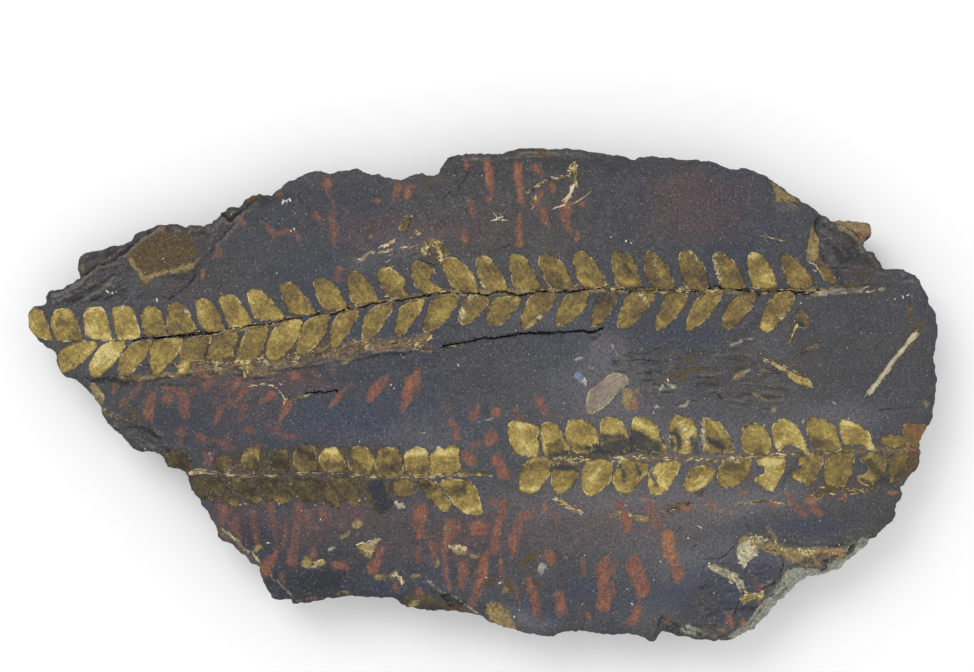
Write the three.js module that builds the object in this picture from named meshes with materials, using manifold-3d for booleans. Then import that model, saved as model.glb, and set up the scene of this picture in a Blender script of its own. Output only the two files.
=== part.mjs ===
// Fossil leaf plate: a broken slab of dark shale with three bennettite leaves pressed on its top.
// It is one piece of stone and lies on its underside. Millimetres, +Z up.
// Origin: on the resting face, under the middle of the slab's bounding box.

import * as THREE from 'three';
import { mergeVertices } from 'three/addons/utils/BufferGeometryUtils.js';
import Module from 'manifold-3d';

// Driving dimensions
const slabLength = 273;
const slabThickness = 24;
const filmRise = 0.5; // how far a leaf film stands above its bedding plane
const filmRoot = 2.5; // how deep its solid goes into the stone
const ribWidth = 0.9; // the stalk down the middle of a leaf
const crackWidth = 0.6;
const crackDepth = 1.4;

// Places on the top are survey steps, column then row, counted to the right and down.
const surveySteps = 910; // the slab's length in steps
const middleColumn = 483;
const middleRow = 395;
const step = slabLength / surveySteps;

// A list of column, row, column, row becomes points in millimetres.
function survey(list) {
  const points = [];
  for (let i = 0; i < list.length; i += 2) {
    points.push(new THREE.Vector2((list[i] - middleColumn) * step, (middleRow - list[i + 1]) * step));
  }
  return points;
}

const slabOutline = survey([
  28, 328, 28, 314, 33, 308, 42, 307, 48, 301, 47, 298, 52, 291, 58, 289, 64, 286, 75, 280, 79, 277,
  77, 271, 75, 263, 76, 259, 80, 254, 90, 250, 100, 249, 108, 246, 120, 245, 127, 241, 132, 238,
  138, 232, 145, 229, 157, 224, 175, 225, 183, 227, 190, 226, 203, 226, 210, 222, 217, 219, 221, 215,
  224, 210, 229, 206, 237, 205, 245, 199, 251, 196, 261, 194, 270, 195, 276, 190, 289, 182, 300, 177,
  310, 172, 321, 171, 328, 173, 337, 172, 346, 171, 356, 169, 362, 172, 370, 175, 378, 175, 386, 177,
  400, 180, 405, 178, 409, 175, 420, 174, 429, 176, 436, 174, 441, 169, 446, 162, 450, 157, 459, 155,
  466, 153, 477, 153, 486, 155, 497, 154, 505, 153, 511, 150, 518, 149, 530, 148, 541, 148, 552, 149,
  568, 148, 580, 149, 590, 151, 611, 154, 635, 158, 641, 156, 650, 155, 670, 158, 680, 160, 693, 161,
  711, 161, 728, 167, 736, 169, 746, 168, 755, 170, 768, 177, 782, 188, 804, 203, 821, 213, 835, 220,
  850, 221, 865, 222, 874, 224, 873, 233, 867, 241, 866, 246, 870, 251, 877, 252, 878, 258, 886, 269,
  896, 268, 905, 268, 917, 276, 921, 280, 923, 288, 930, 303, 937, 313, 938, 337, 933, 360, 934, 370,
  937, 379, 935, 392, 935, 405, 933, 416, 926, 428, 921, 437, 919, 444, 921, 452, 918, 470, 908, 478,
  905, 484, 901, 489, 903, 496, 896, 505, 895, 513, 892, 522, 883, 531, 862, 549, 844, 567, 833, 572,
  820, 574, 807, 577, 797, 584, 786, 595, 776, 607, 758, 627, 748, 632, 727, 641, 700, 640, 689, 638,
  677, 637, 670, 633, 661, 633, 657, 638, 652, 642, 645, 639, 636, 635, 628, 633, 603, 635, 593, 633,
  580, 631, 565, 632, 557, 635, 546, 636, 527, 633, 504, 628, 494, 624, 485, 618, 464, 612, 454, 611,
  435, 611, 407, 609, 401, 605, 396, 600, 390, 597, 377, 598, 360, 597, 340, 597, 325, 599, 299, 605,
  293, 604, 288, 599, 283, 602, 274, 601, 269, 595, 263, 586, 259, 573, 260, 568, 252, 563, 239, 552,
  219, 537, 217, 528, 211, 520, 208, 512, 203, 506, 199, 498, 191, 489, 186, 473, 180, 470, 168, 467,
  164, 462, 161, 457, 157, 453, 147, 451, 139, 454, 131, 449, 114, 431, 105, 420, 98, 404, 82, 386,
  73, 380, 65, 377, 59, 372, 55, 353, 50, 348, 38, 339,
]);

// The bed is a stack of laminae. Each one keeps every nth corner of the outline, drawn in by
// about pull, and rough is how much that varies from corner to corner.
const laminae = [
  { bottom: 0, top: 4.5, every: 4, pull: 5.5, rough: 2.2 },
  { bottom: 4.5, top: 9, every: 3, pull: 2.8, rough: 1.6 },
  { bottom: 9, top: 14, every: 2, pull: 1.3, rough: 0.8 },
  { bottom: 14, top: 18.5, every: 1, pull: 0, rough: 0 },
  { bottom: 18.5, top: 20, every: 2, pull: 1.4, rough: 0.5 },
  { bottom: 20, top: slabThickness, every: 1, pull: 0, rough: 0 },
];

// The bed with the two lower leaves, a lamina further down that meets the top at its right end.
// depth is how far a broken surface lies below the top at the first point of its ring, and slope is
// the extra depth for each step to the right and down from there.
const lowerBed = {
  depth: 0.9,
  slope: [-0.0014, 0],
  ring: [60, 378, 118, 377, 142, 380, 190, 374, 235, 368, 262, 373, 300, 366, 340, 362, 372, 355,
    400, 352, 430, 349, 455, 345, 480, 340, 500, 338, 523, 333, 560, 331, 590, 331, 603, 328,
    640, 345, 700, 352, 700, 680, 0, 680, 0, 378],
};

// Every place where upper laminae have split off.
const breaks = [
  // the shelf behind the tip of the upper leaf
  { depth: 1, ring: [60, 304, 100, 302, 140, 300, 170, 300, 180, 291, 192, 281, 197, 270, 205, 258,
    218, 243, 240, 218, 262, 197, 262, 160, 150, 170, 10, 260, 10, 303] },
  // lower shelves that stick out beyond it
  { depth: 3.2, ring: [60, 292, 79, 280, 95, 268, 110, 262, 122, 255, 135, 243, 150, 232, 160, 226,
    160, 190, 40, 230] },
  { depth: 3.6, ring: [222, 214, 230, 222, 240, 215, 250, 205, 258, 197, 250, 175, 215, 190] },
  // a chip in the top edge, and a patch further along it
  { depth: 0.8, ring: [436, 172, 441, 192, 450, 197, 459, 183, 466, 170, 470, 163, 470, 130, 425, 140] },
  { depth: 1.2, ring: [768, 178, 774, 190, 783, 199, 795, 205, 803, 206, 813, 190, 775, 160] },
  // the broken wedge at the right end of the upper leaf
  { depth: 0.5, slope: [0.026, -0.026], ring: [836, 286, 824, 262, 816, 245, 813, 228, 822, 205,
    860, 190, 960, 190, 960, 268, 905, 280, 880, 290, 860, 292] },
  { depth: 5, ring: [834, 215, 838, 222, 850, 231, 862, 240, 868, 250, 900, 250, 900, 200, 830, 200] },
  lowerBed,
  // shelves along the lower left edge
  { depth: 2.8, ring: [90, 395, 103, 410, 115, 417, 128, 422, 140, 426, 152, 431, 160, 439, 166, 448,
    172, 450, 160, 485, 70, 440] },
  { depth: 2.2, ring: [222, 530, 228, 541, 240, 549, 252, 556, 260, 566, 240, 590, 190, 520, 210, 519] },
  { depth: 2.6, ring: [268, 574, 277, 582, 286, 591, 300, 603, 300, 625, 240, 625, 240, 572] },
  // a pit and two shelves in the lower edge
  { depth: 6, ring: [443, 597, 449, 597, 461, 605, 456, 608, 448, 606] },
  { depth: 2, ring: [484, 606, 497, 603, 508, 612, 518, 622, 521, 645, 470, 625] },
  { depth: 2.4, ring: [660, 618, 672, 622, 690, 628, 702, 634, 702, 660, 650, 660] },
  // the weathered slope at the lower right corner
  { depth: 0.8, slope: [0.03, 0.035], ring: [785, 570, 795, 565, 815, 562, 835, 556, 852, 547,
    872, 538, 930, 540, 860, 640, 750, 680, 735, 640, 748, 627, 757, 612, 770, 598, 780, 585] },
];

// Leaflets, each as its own ring of survey steps.
const upperLeaf = [
  // the row above the stalk, from the left
  [28, 314, 31, 309, 37, 308, 43, 311, 48, 327, 52, 340, 43, 339, 36, 336, 30, 331],
  [51, 318, 56, 310, 64, 308, 72, 310, 76, 317, 82, 339, 76, 341, 66, 342, 58, 340, 53, 334],
  [84, 316, 87, 309, 94, 307, 101, 307, 105, 311, 112, 339, 104, 341, 93, 339, 86, 335],
  [112, 313, 115, 307, 122, 306, 128, 306, 133, 309, 140, 332, 139, 338, 122, 340, 117, 337],
  [141, 318, 143, 310, 149, 306, 156, 307, 161, 312, 165, 327, 166, 334, 155, 336, 145, 335],
  [168, 308, 171, 302, 176, 301, 181, 303, 190, 313, 196, 328, 194, 332, 180, 334, 168, 334],
  [195, 303, 198, 299, 204, 298, 210, 300, 220, 313, 224, 328, 217, 331, 207, 331, 200, 326],
  [218, 301, 221, 296, 228, 294, 235, 296, 244, 307, 252, 321, 248, 325, 238, 327, 229, 325],
  [247, 293, 250, 289, 257, 289, 264, 292, 275, 304, 284, 318, 276, 319, 262, 320, 254, 317],
  [279, 288, 282, 284, 289, 282, 295, 284, 306, 297, 316, 313, 307, 315, 297, 315, 288, 311],
  [313, 284, 316, 279, 323, 278, 330, 280, 341, 294, 347, 307, 338, 309, 329, 311, 322, 308],
  [346, 277, 349, 272, 355, 271, 362, 274, 373, 287, 378, 300, 368, 303, 358, 304, 351, 300],
  [377, 277, 379, 269, 385, 267, 392, 268, 407, 282, 404, 288, 409, 296, 402, 299, 392, 298, 385, 294],
  [410, 268, 411, 263, 421, 261, 432, 267, 435, 271, 430, 280, 443, 290, 430, 293, 420, 291, 414, 285],
  [441, 262, 445, 258, 451, 257, 458, 259, 471, 271, 478, 291, 468, 293, 458, 291, 451, 286],
  [476, 264, 477, 257, 482, 255, 489, 257, 499, 268, 507, 289, 498, 291, 488, 290, 481, 285],
  [509, 262, 510, 255, 515, 254, 522, 255, 532, 268, 540, 288, 530, 289, 520, 290, 513, 285],
  [538, 262, 540, 255, 546, 253, 553, 255, 565, 266, 573, 288, 562, 289, 552, 288, 545, 281],
  [573, 262, 574, 254, 579, 251, 585, 252, 597, 264, 607, 285, 598, 288, 588, 288, 580, 284],
  [611, 256, 613, 250, 620, 251, 633, 257, 638, 271, 641, 286, 632, 288, 622, 288, 615, 283],
  [643, 259, 645, 252, 651, 251, 657, 254, 668, 267, 674, 288, 663, 289, 653, 287, 647, 280],
  [678, 262, 680, 252, 685, 250, 691, 251, 702, 261, 710, 284, 707, 289, 695, 290, 685, 287],
  [712, 258, 714, 253, 720, 252, 733, 260, 741, 273, 746, 287, 737, 289, 725, 289, 719, 284],
  [747, 262, 749, 253, 755, 252, 761, 254, 772, 268, 777, 284, 772, 288, 762, 289, 753, 287],
  [780, 258, 783, 254, 789, 254, 795, 257, 806, 270, 814, 283, 805, 286, 795, 289, 788, 284],
  [812, 256, 817, 252, 823, 258, 829, 267, 837, 283, 831, 284, 825, 281, 820, 272],
  // the row below the stalk
  [57, 357, 62, 349, 69, 345, 78, 342, 97, 343, 88, 357, 73, 369, 65, 373, 60, 370],
  [90, 362, 99, 348, 106, 343, 116, 341, 126, 342, 119, 358, 105, 371, 99, 377, 92, 377, 89, 371],
  [120, 358, 131, 344, 140, 341, 152, 341, 147, 355, 136, 369, 129, 375, 121, 377, 118, 371],
  [150, 355, 154, 341, 178, 338, 184, 340, 176, 356, 164, 370, 156, 376, 151, 372],
  [181, 345, 186, 340, 209, 336, 204, 352, 200, 358, 191, 361, 186, 375, 179, 374, 178, 367],
  [209, 344, 213, 336, 232, 331, 238, 332, 229, 353, 224, 358, 214, 360, 207, 356],
  [239, 346, 248, 331, 256, 328, 266, 328, 265, 340, 256, 355, 250, 359, 241, 360, 237, 356],
  [267, 344, 276, 327, 284, 322, 300, 321, 294, 338, 281, 353, 273, 359, 267, 356],
  [296, 344, 302, 327, 308, 321, 315, 320, 325, 332, 315, 344, 302, 355, 297, 352],
  [330, 329, 337, 316, 344, 312, 359, 311, 353, 327, 343, 341, 337, 348, 331, 349],
  [363, 325, 365, 316, 376, 306, 394, 304, 387, 319, 377, 334, 370, 341, 363, 343, 361, 336],
  [397, 317, 400, 308, 412, 301, 424, 300, 418, 316, 408, 330, 402, 337, 397, 337, 394, 330],
  [424, 319, 431, 302, 436, 298, 459, 297, 452, 313, 440, 327, 434, 332, 426, 333, 422, 327],
  [459, 311, 460, 304, 470, 294, 489, 300, 483, 312, 470, 323, 461, 325, 458, 320],
  [486, 318, 491, 302, 496, 298, 521, 298, 513, 313, 501, 325, 493, 326, 487, 323],
  [521, 318, 527, 301, 533, 295, 556, 294, 549, 310, 536, 323, 527, 329, 521, 329],
  [555, 318, 561, 301, 567, 295, 588, 293, 585, 308, 573, 320, 559, 328, 554, 323],
  [592, 318, 596, 300, 601, 295, 618, 293, 611, 313, 602, 323, 596, 327, 591, 326],
  [619, 313, 625, 298, 630, 293, 655, 294, 648, 308, 631, 327, 624, 329, 617, 327, 617, 320],
  [657, 316, 664, 300, 665, 294, 687, 295, 678, 316, 665, 328, 658, 331, 655, 325],
  [688, 316, 695, 300, 710, 292, 722, 292, 711, 315, 698, 326, 690, 331, 686, 330],
  [722, 320, 729, 302, 742, 294, 757, 293, 752, 308, 741, 321, 734, 327, 726, 330, 721, 327],
  [761, 319, 767, 303, 779, 293, 794, 293, 791, 309, 780, 323, 773, 329, 766, 332, 760, 330],
  [799, 308, 808, 317, 810, 323, 807, 328, 800, 328, 796, 322],
];

const lowerLeftLeaf = [
  [165, 455, 170, 452, 186, 453, 190, 459, 192, 470, 180, 470, 170, 467],
  [214, 461, 216, 456, 222, 455, 229, 456, 232, 461, 232, 470, 218, 471],
  [241, 462, 243, 454, 247, 449, 260, 447, 258, 462, 260, 470, 246, 470],
  [270, 455, 273, 450, 281, 449, 288, 450, 290, 466, 288, 471, 272, 471],
  [293, 456, 296, 450, 307, 443, 313, 445, 316, 451, 318, 470, 305, 473, 295, 471],
  [319, 460, 321, 452, 332, 446, 338, 448, 343, 462, 346, 470, 334, 473, 323, 472],
  [348, 468, 348, 458, 351, 450, 357, 446, 369, 449, 374, 461, 370, 474, 358, 474],
  [375, 462, 377, 453, 381, 448, 396, 448, 401, 454, 403, 476, 388, 477, 376, 474],
  [404, 459, 406, 452, 417, 447, 426, 450, 429, 458, 427, 476, 414, 477, 407, 474],
  [430, 456, 440, 446, 445, 449, 450, 444, 457, 446, 460, 471, 438, 475, 430, 473],
  [189, 478, 200, 477, 212, 488, 210, 495, 205, 500, 199, 497],
  [207, 478, 220, 479, 234, 496, 238, 504, 232, 507, 216, 493],
  [224, 478, 240, 478, 262, 496, 256, 504, 248, 500, 232, 486],
  [256, 480, 275, 478, 285, 484, 291, 494, 291, 503, 280, 504, 264, 492],
  [288, 479, 303, 480, 313, 489, 318, 498, 314, 503, 305, 501],
  [306, 479, 322, 480, 333, 489, 341, 508, 331, 505, 313, 488],
  [330, 479, 345, 478, 356, 484, 360, 494, 357, 507, 350, 505],
  [366, 480, 378, 479, 387, 485, 393, 503, 388, 511, 380, 514, 372, 506],
  [393, 484, 408, 479, 413, 484, 418, 489, 405, 498, 396, 496],
  [418, 479, 434, 481, 441, 488, 449, 500, 451, 508, 446, 512, 438, 508, 423, 492],
  [440, 482, 455, 479, 470, 481, 477, 491, 483, 512, 478, 516, 461, 511, 448, 497],
];

const lowerRightLeaf = [
  // the row above the stalk, from the left
  [508, 427, 510, 422, 516, 420, 531, 423, 539, 430, 531, 440, 537, 455, 532, 458, 514, 451, 508, 436],
  [541, 434, 541, 426, 545, 422, 557, 425, 564, 438, 569, 453, 566, 458, 546, 457, 541, 441],
  [565, 434, 567, 425, 571, 419, 585, 420, 596, 430, 599, 444, 588, 454, 575, 452, 568, 447],
  [600, 434, 600, 424, 603, 418, 618, 418, 626, 429, 630, 446, 627, 453, 612, 453, 602, 450],
  [631, 427, 634, 418, 641, 416, 654, 423, 663, 436, 668, 451, 658, 453, 635, 448],
  [669, 430, 670, 421, 675, 416, 691, 419, 697, 432, 692, 447, 690, 452, 671, 450],
  [702, 425, 704, 418, 708, 418, 721, 424, 728, 436, 735, 451, 722, 453, 708, 453, 702, 447],
  [741, 438, 744, 424, 751, 422, 764, 427, 771, 440, 771, 448, 767, 453, 746, 453],
  [772, 433, 773, 425, 782, 418, 795, 424, 803, 437, 808, 452, 803, 451, 794, 446, 788, 446, 778, 451],
  [806, 427, 808, 420, 812, 416, 831, 423, 838, 436, 841, 450, 818, 450, 808, 437],
  [839, 425, 840, 419, 853, 422, 867, 430, 874, 449, 868, 449, 860, 445, 845, 445, 841, 439],
  [879, 440, 884, 436, 893, 435, 902, 436, 906, 441, 906, 447, 888, 448],
  [902, 427, 908, 424, 918, 424, 927, 426, 920, 441, 920, 448, 912, 448, 903, 436],
  // the row below it
  [521, 470, 530, 459, 549, 460, 549, 476, 538, 490, 530, 494, 521, 492, 519, 486],
  [551, 475, 553, 468, 558, 463, 577, 463, 577, 481, 567, 491, 559, 493, 553, 490],
  [581, 474, 588, 461, 608, 460, 613, 463, 611, 480, 598, 493, 590, 496, 583, 490],
  [614, 474, 621, 460, 632, 460, 648, 465, 642, 481, 628, 494, 619, 492, 614, 488],
  [648, 475, 658, 463, 668, 461, 680, 462, 675, 478, 665, 492, 657, 495, 650, 493],
  [683, 483, 686, 470, 696, 461, 706, 460, 710, 472, 707, 485, 701, 490, 692, 492],
  [718, 470, 726, 459, 751, 460, 748, 476, 735, 486, 727, 488, 719, 484],
  [758, 466, 768, 456, 786, 457, 784, 471, 776, 485, 771, 490, 757, 485, 758, 478],
  [790, 468, 800, 457, 812, 453, 822, 455, 820, 470, 810, 482, 804, 487, 793, 479],
  [825, 460, 832, 454, 853, 454, 853, 471, 845, 485, 835, 487, 825, 484],
  [861, 458, 868, 454, 885, 453, 885, 471, 872, 483, 862, 483, 857, 479, 864, 471],
  [888, 458, 895, 453, 905, 452, 908, 458, 902, 472, 892, 483, 889, 476],
];

// Stalks down the middle of the lower leaves, and thin plant scraps.
const ribs = [
  { bed: 'lower', width: ribWidth, rise: 0.8, route: [187, 473, 200, 471, 225, 474, 255, 476,
    290, 475, 330, 473, 380, 476, 390, 479, 404, 477, 432, 477, 460, 475, 491, 475] },
  { bed: 'lower', width: ribWidth, rise: 0.7, route: [528, 459, 565, 461, 600, 459, 620, 456,
    660, 458, 705, 460, 737, 457, 765, 454, 800, 453, 840, 449, 875, 450, 900, 449, 919, 453] },
  { width: 0.8, rise: 0.4, route: [358, 260, 370, 254, 405, 248, 430, 240] },
  { width: 1.2, rise: 0.6, route: [527, 192, 540, 184, 553, 179, 569, 177] },
  { width: 1.5, rise: 0.6, route: [576, 163, 574, 178, 571, 190, 566, 203] },
  { width: 1.4, rise: 0.5, route: [813, 230, 812, 243, 809, 257] },
  { bed: 'lower', width: 1.2, rise: 0.6, route: [555, 499, 568, 505, 580, 512] },
  // low steps where the bed has frayed, between the leaves
  { width: 1.8, rise: 0.4, route: [650, 381, 672, 376, 700, 377, 728, 370, 757, 366] },
  { width: 1.5, rise: 0.4, route: [668, 391, 700, 388, 730, 381, 752, 379] },
  { width: 1.5, rise: 0.4, route: [655, 366, 685, 363, 715, 358, 748, 357] },
];

// Round twigs lying half sunk in the bed: both ends and the radius at each.
const twigs = [
  { from: [767, 360], to: [811, 384], startRadius: 0.8, endRadius: 1.0 },
  { from: [917, 332], to: [868, 394], startRadius: 0.8, endRadius: 1.2 },
];

const cracks = [
  [135, 340, 157, 337, 190, 335, 211, 334, 225, 329, 243, 326, 265, 325, 285, 320, 300, 318],
  [309, 314, 330, 315, 347, 308, 360, 308, 375, 303, 400, 300, 427, 296],
  [433, 293, 470, 293, 485, 296, 504, 291, 518, 296, 540, 291, 555, 293, 580, 290, 610, 287],
  [620, 290, 660, 290, 690, 292, 715, 288, 744, 290, 757, 293, 788, 290, 797, 294, 820, 291],
  [300, 395, 311, 393, 324, 392, 338, 390, 345, 387],
  [444, 346, 465, 343, 483, 338, 498, 338, 523, 333, 545, 333, 570, 332, 601, 328],
];

const wasm = await Module();
wasm.setup();
const joinTolerance = 1e-4;
const overlap = 0.2; // how far one lamina runs into the next, so that they join
const clearAbove = 5; // how far a cutting solid stands above the top

function solidFrom(geometry) {
  geometry.deleteAttribute('normal');
  geometry.deleteAttribute('uv');
  const merged = mergeVertices(geometry, joinTolerance);
  return new wasm.Manifold(new wasm.Mesh({
    numProp: 3,
    vertProperties: new Float32Array(merged.attributes.position.array),
    triVerts: new Uint32Array(merged.index.array),
  }));
}

function prism(outline, bottom, top) {
  const depth = top - bottom;
  const geometry = new THREE.ExtrudeGeometry(new THREE.Shape(outline), { depth, bevelEnabled: false });
  geometry.translate(0, 0, bottom);
  return geometry;
}

// The outline of one lamina: the kept corners, each drawn in towards the middle of the slab.
function laminaOutline({ every, pull, rough }, index) {
  const kept = slabOutline.filter((corner, i) => i % every === 0);
  return kept.map((corner, i) => {
    const drawnIn = pull + rough * Math.sin(i * 2.3 + index) * Math.cos(i * 0.7);
    return corner.clone().setLength(corner.length() - drawnIn);
  });
}

function makeLamina(lamina, index) {
  return solidFrom(prism(laminaOutline(lamina, index), Math.max(lamina.bottom - overlap, 0), lamina.top));
}

// The solid that is cut away at a break, with its floor set at the broken surface.
function makeBreak({ depth, slope = [0, 0], ring }) {
  const outline = survey(ring);
  const first = outline[0];
  const geometry = prism(outline, 0, slabThickness + clearAbove);
  const corners = geometry.attributes.position;
  for (let i = 0; i < corners.count; i += 1) {
    if (corners.getZ(i) < slabThickness) {
      const right = (corners.getX(i) - first.x) / step;
      const down = (first.y - corners.getY(i)) / step;
      corners.setZ(i, slabThickness - Math.max(depth + slope[0] * right + slope[1] * down, 0));
    }
  }
  return solidFrom(geometry);
}

// How high the lower bed is at a column.
function lowerBedHeight(column) {
  return slabThickness - Math.max(lowerBed.depth + lowerBed.slope[0] * (column - lowerBed.ring[0]), 0);
}

function makeLeaflet(ring, height) {
  return solidFrom(prism(survey(ring), height - filmRoot, height + filmRise));
}

// A band of even width along a route.
function band(route, width) {
  const points = survey(route);
  const left = [];
  const right = [];
  points.forEach((point, i) => {
    const before = points[Math.max(i - 1, 0)];
    const after = points[Math.min(i + 1, points.length - 1)];
    const along = after.clone().sub(before).normalize();
    const aside = new THREE.Vector2(-along.y, along.x).multiplyScalar(width / 2);
    left.push(point.clone().add(aside));
    right.unshift(point.clone().sub(aside));
  });
  return left.concat(right);
}

function makeTwig({ from, to, startRadius, endRadius }) {
  const [start, end] = survey([...from, ...to]);
  const along = new THREE.Vector3(end.x - start.x, end.y - start.y, 0);
  const sides = 8;
  const geometry = new THREE.CylinderGeometry(endRadius, startRadius, along.length(), sides);
  const upright = new THREE.Vector3(0, 1, 0);
  geometry.applyQuaternion(new THREE.Quaternion().setFromUnitVectors(upright, along.clone().normalize()));
  geometry.translate((start.x + end.x) / 2, (start.y + end.y) / 2, slabThickness);
  return solidFrom(geometry);
}

function makeSlab() {
  let slab = makeLamina(laminae[0], 0);
  laminae.slice(1).forEach((lamina, i) => {
    slab = slab.add(makeLamina(lamina, i + 1));
  });
  for (const split of breaks) slab = slab.subtract(makeBreak(split));
  for (const ring of upperLeaf) slab = slab.add(makeLeaflet(ring, slabThickness));
  for (const ring of [...lowerLeftLeaf, ...lowerRightLeaf]) {
    slab = slab.add(makeLeaflet(ring, lowerBedHeight(ring[0])));
  }
  for (const { bed, width, rise, route } of ribs) {
    const height = bed === 'lower' ? lowerBedHeight(route[0]) : slabThickness;
    slab = slab.add(solidFrom(prism(band(route, width), height - filmRoot, height + rise)));
  }
  for (const twig of twigs) slab = slab.add(makeTwig(twig));
  for (const route of cracks) {
    const floor = slabThickness - crackDepth;
    slab = slab.subtract(solidFrom(prism(band(route, crackWidth), floor, slabThickness + clearAbove)));
  }
  return slab;
}

function geometryFrom(solid) {
  const { vertProperties, triVerts } = solid.getMesh();
  const geometry = new THREE.BufferGeometry();
  geometry.setAttribute('position', new THREE.BufferAttribute(vertProperties, 3));
  geometry.setIndex(new THREE.BufferAttribute(triVerts, 1));
  geometry.computeVertexNormals();
  return geometry;
}

const shale = new THREE.MeshStandardMaterial({ color: 0x4a4650, roughness: 0.85, metalness: 0 });
const fossilSlab = new THREE.Mesh(geometryFrom(makeSlab()), shale);
fossilSlab.name = 'fossil_slab';

const plate = new THREE.Group();
plate.add(fossilSlab);

export default plate;
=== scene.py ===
import math
import bmesh
import bpy
import numpy as np
from mathutils import Matrix, Vector


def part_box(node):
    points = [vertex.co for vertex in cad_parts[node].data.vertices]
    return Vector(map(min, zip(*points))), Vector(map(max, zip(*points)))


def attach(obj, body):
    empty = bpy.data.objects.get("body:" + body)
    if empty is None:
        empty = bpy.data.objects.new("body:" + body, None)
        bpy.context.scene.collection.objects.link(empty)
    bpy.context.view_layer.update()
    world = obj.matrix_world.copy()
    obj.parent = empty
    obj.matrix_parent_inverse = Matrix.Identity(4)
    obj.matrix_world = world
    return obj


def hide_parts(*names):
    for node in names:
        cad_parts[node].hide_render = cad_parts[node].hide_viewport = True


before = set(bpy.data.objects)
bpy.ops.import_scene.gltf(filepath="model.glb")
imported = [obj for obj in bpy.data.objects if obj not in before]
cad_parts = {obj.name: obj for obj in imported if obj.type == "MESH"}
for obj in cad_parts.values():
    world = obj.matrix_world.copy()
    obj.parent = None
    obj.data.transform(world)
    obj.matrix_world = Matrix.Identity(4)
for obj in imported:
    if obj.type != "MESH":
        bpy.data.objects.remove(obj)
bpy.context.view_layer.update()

# The fossil leaf plate: one broken slab of dark shale that lies on its underside, with three
# pressed leaves on its top. Everything rides on the one CAD body.
mm = 0.001
nodeLow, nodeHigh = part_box("fossil_slab")

# Places on the top are survey steps, column then row, counted to the right and down.
survey = {"steps": 910, "middleColumn": 483, "middleRow": 395}
step = (nodeHigh.x - nodeLow.x) / survey["steps"]


def spots(flat):
    # places in metres, from columns and rows written one after the other
    pairs = np.array(flat, float).reshape(-1, 2)
    right = (pairs[:, 0] - survey["middleColumn"]) * step
    up = (survey["middleRow"] - pairs[:, 1]) * step
    return np.stack([right, up], axis=1)


# Noise and distances work on numpy arrays of places, in metres.


def ease(value, low, high):
    # 0 below low, 1 above high, and a smooth slope between
    share = np.clip((value - low) / (high - low), 0, 1)
    return share * share * (3 - 2 * share)


latticeTurn = np.array([[0.83, -0.56, 0.0], [0.56, 0.83, 0.0], [0.0, 0.0, 1.0]])
latticeSteps = np.array([374761393, 668265263, 1442695041], np.int64)
latticeStir = 1274126177
latticeTop = 0xFFFFFF
seedShift = 19.19
seedStep = 7919


def latticeNoise(points, size, seed):
    # smooth noise from -1 to 1, with one swing about every size metres
    wide = points.shape[1]
    cells = points @ latticeTurn[:wide, :wide] / size + seed * seedShift
    base = np.floor(cells).astype(np.int64)
    part = cells - base
    part = part * part * (3 - 2 * part)
    total = np.zeros(len(points))
    for corner in np.ndindex(*(2,) * wide):
        stirred = (base + corner) @ latticeSteps[:wide] + seed * seedStep
        stirred = (stirred ^ (stirred >> 13)) * latticeStir
        stirred = (stirred ^ (stirred >> 16)) & latticeTop
        share = np.prod(np.where(np.array(corner, bool), part, 1 - part), axis=1)
        total += (stirred / (latticeTop // 2) - 1) * share
    return total


def roughNoise(points, size, seed, octaves=4):
    # the same with finer and finer swings on top
    total = np.zeros(len(points))
    for octave in range(octaves):
        total += latticeNoise(points, size / 2**octave, seed + octave * 31) * 0.55**octave
    return total


def nearestOn(points, route):
    # how far each point is from a line of places, the nearest place on it, and its share of the way
    best = np.full(len(points), np.inf)
    place = np.zeros((len(points), 2))
    along = np.zeros(len(points))
    for leg, (start, end) in enumerate(zip(route[:-1], route[1:])):
        line = end - start
        share = np.clip((points - start) @ line / max(line @ line, 1e-12), 0, 1)
        spot = start + share[:, None] * line
        away = np.hypot(*(points - spot).T)
        closer = away < best
        best[closer] = away[closer]
        place[closer] = spot[closer]
        along[closer] = (leg + share[closer]) / (len(route) - 1)
    return best, place, along


def ringGap(points, ring):
    # how far each point is outside a closed ring, and less than nothing inside it
    closed = np.vstack([ring, ring[:1]])
    inside = np.zeros(len(points), bool)
    for (startX, startY), (endX, endY) in zip(closed[:-1], closed[1:]):
        if startY == endY:
            continue
        crosses = (startY > points[:, 1]) != (endY > points[:, 1])
        level = startX + (points[:, 1] - startY) * (endX - startX) / (endY - startY)
        inside ^= crosses & (points[:, 0] < level)
    gap = nearestOn(points, closed)[0]
    return np.where(inside, -gap, gap)


def onRing(points, ring):
    # the nearest places on a closed ring
    return nearestOn(points, np.vstack([ring, ring[:1]]))[1]


def shapeGap(points, shapes, taper=0, reach=4 * mm):
    # the distance to the nearest of many shapes, each a closed ring, or a width in steps and a route;
    # with a taper each route gets thinner along its way and pointed at its ends
    best = np.full(len(points), reach)
    for number, shape in enumerate(shapes):
        width, flat = shape if isinstance(shape, tuple) else (0, shape)
        place = spots(flat)
        margin = reach + width * step
        low, high = place.min(0) - margin, place.max(0) + margin
        near = np.all((points > low) & (points < high), axis=1)
        if not near.any():
            continue
        if width:
            gap, spot, along = nearestOn(points[near], place)
            thin, thinner = np.random.default_rng(number).uniform(0, taper, 2)
            length = np.hypot(*np.diff(place, axis=0).T).sum()
            tip = np.minimum(along, 1 - along) * length / min(1.4 * width * step, 0.4 * length)
            point = 1 - taper * (1 - np.minimum(tip, 1)) ** 1.5
            gap -= width * step / 2 * point * (1.15 - thin * (1 - along) - thinner * along)
        else:
            gap = ringGap(points[near], place)
        best[near] = np.minimum(best[near], gap)
    return best


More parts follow.
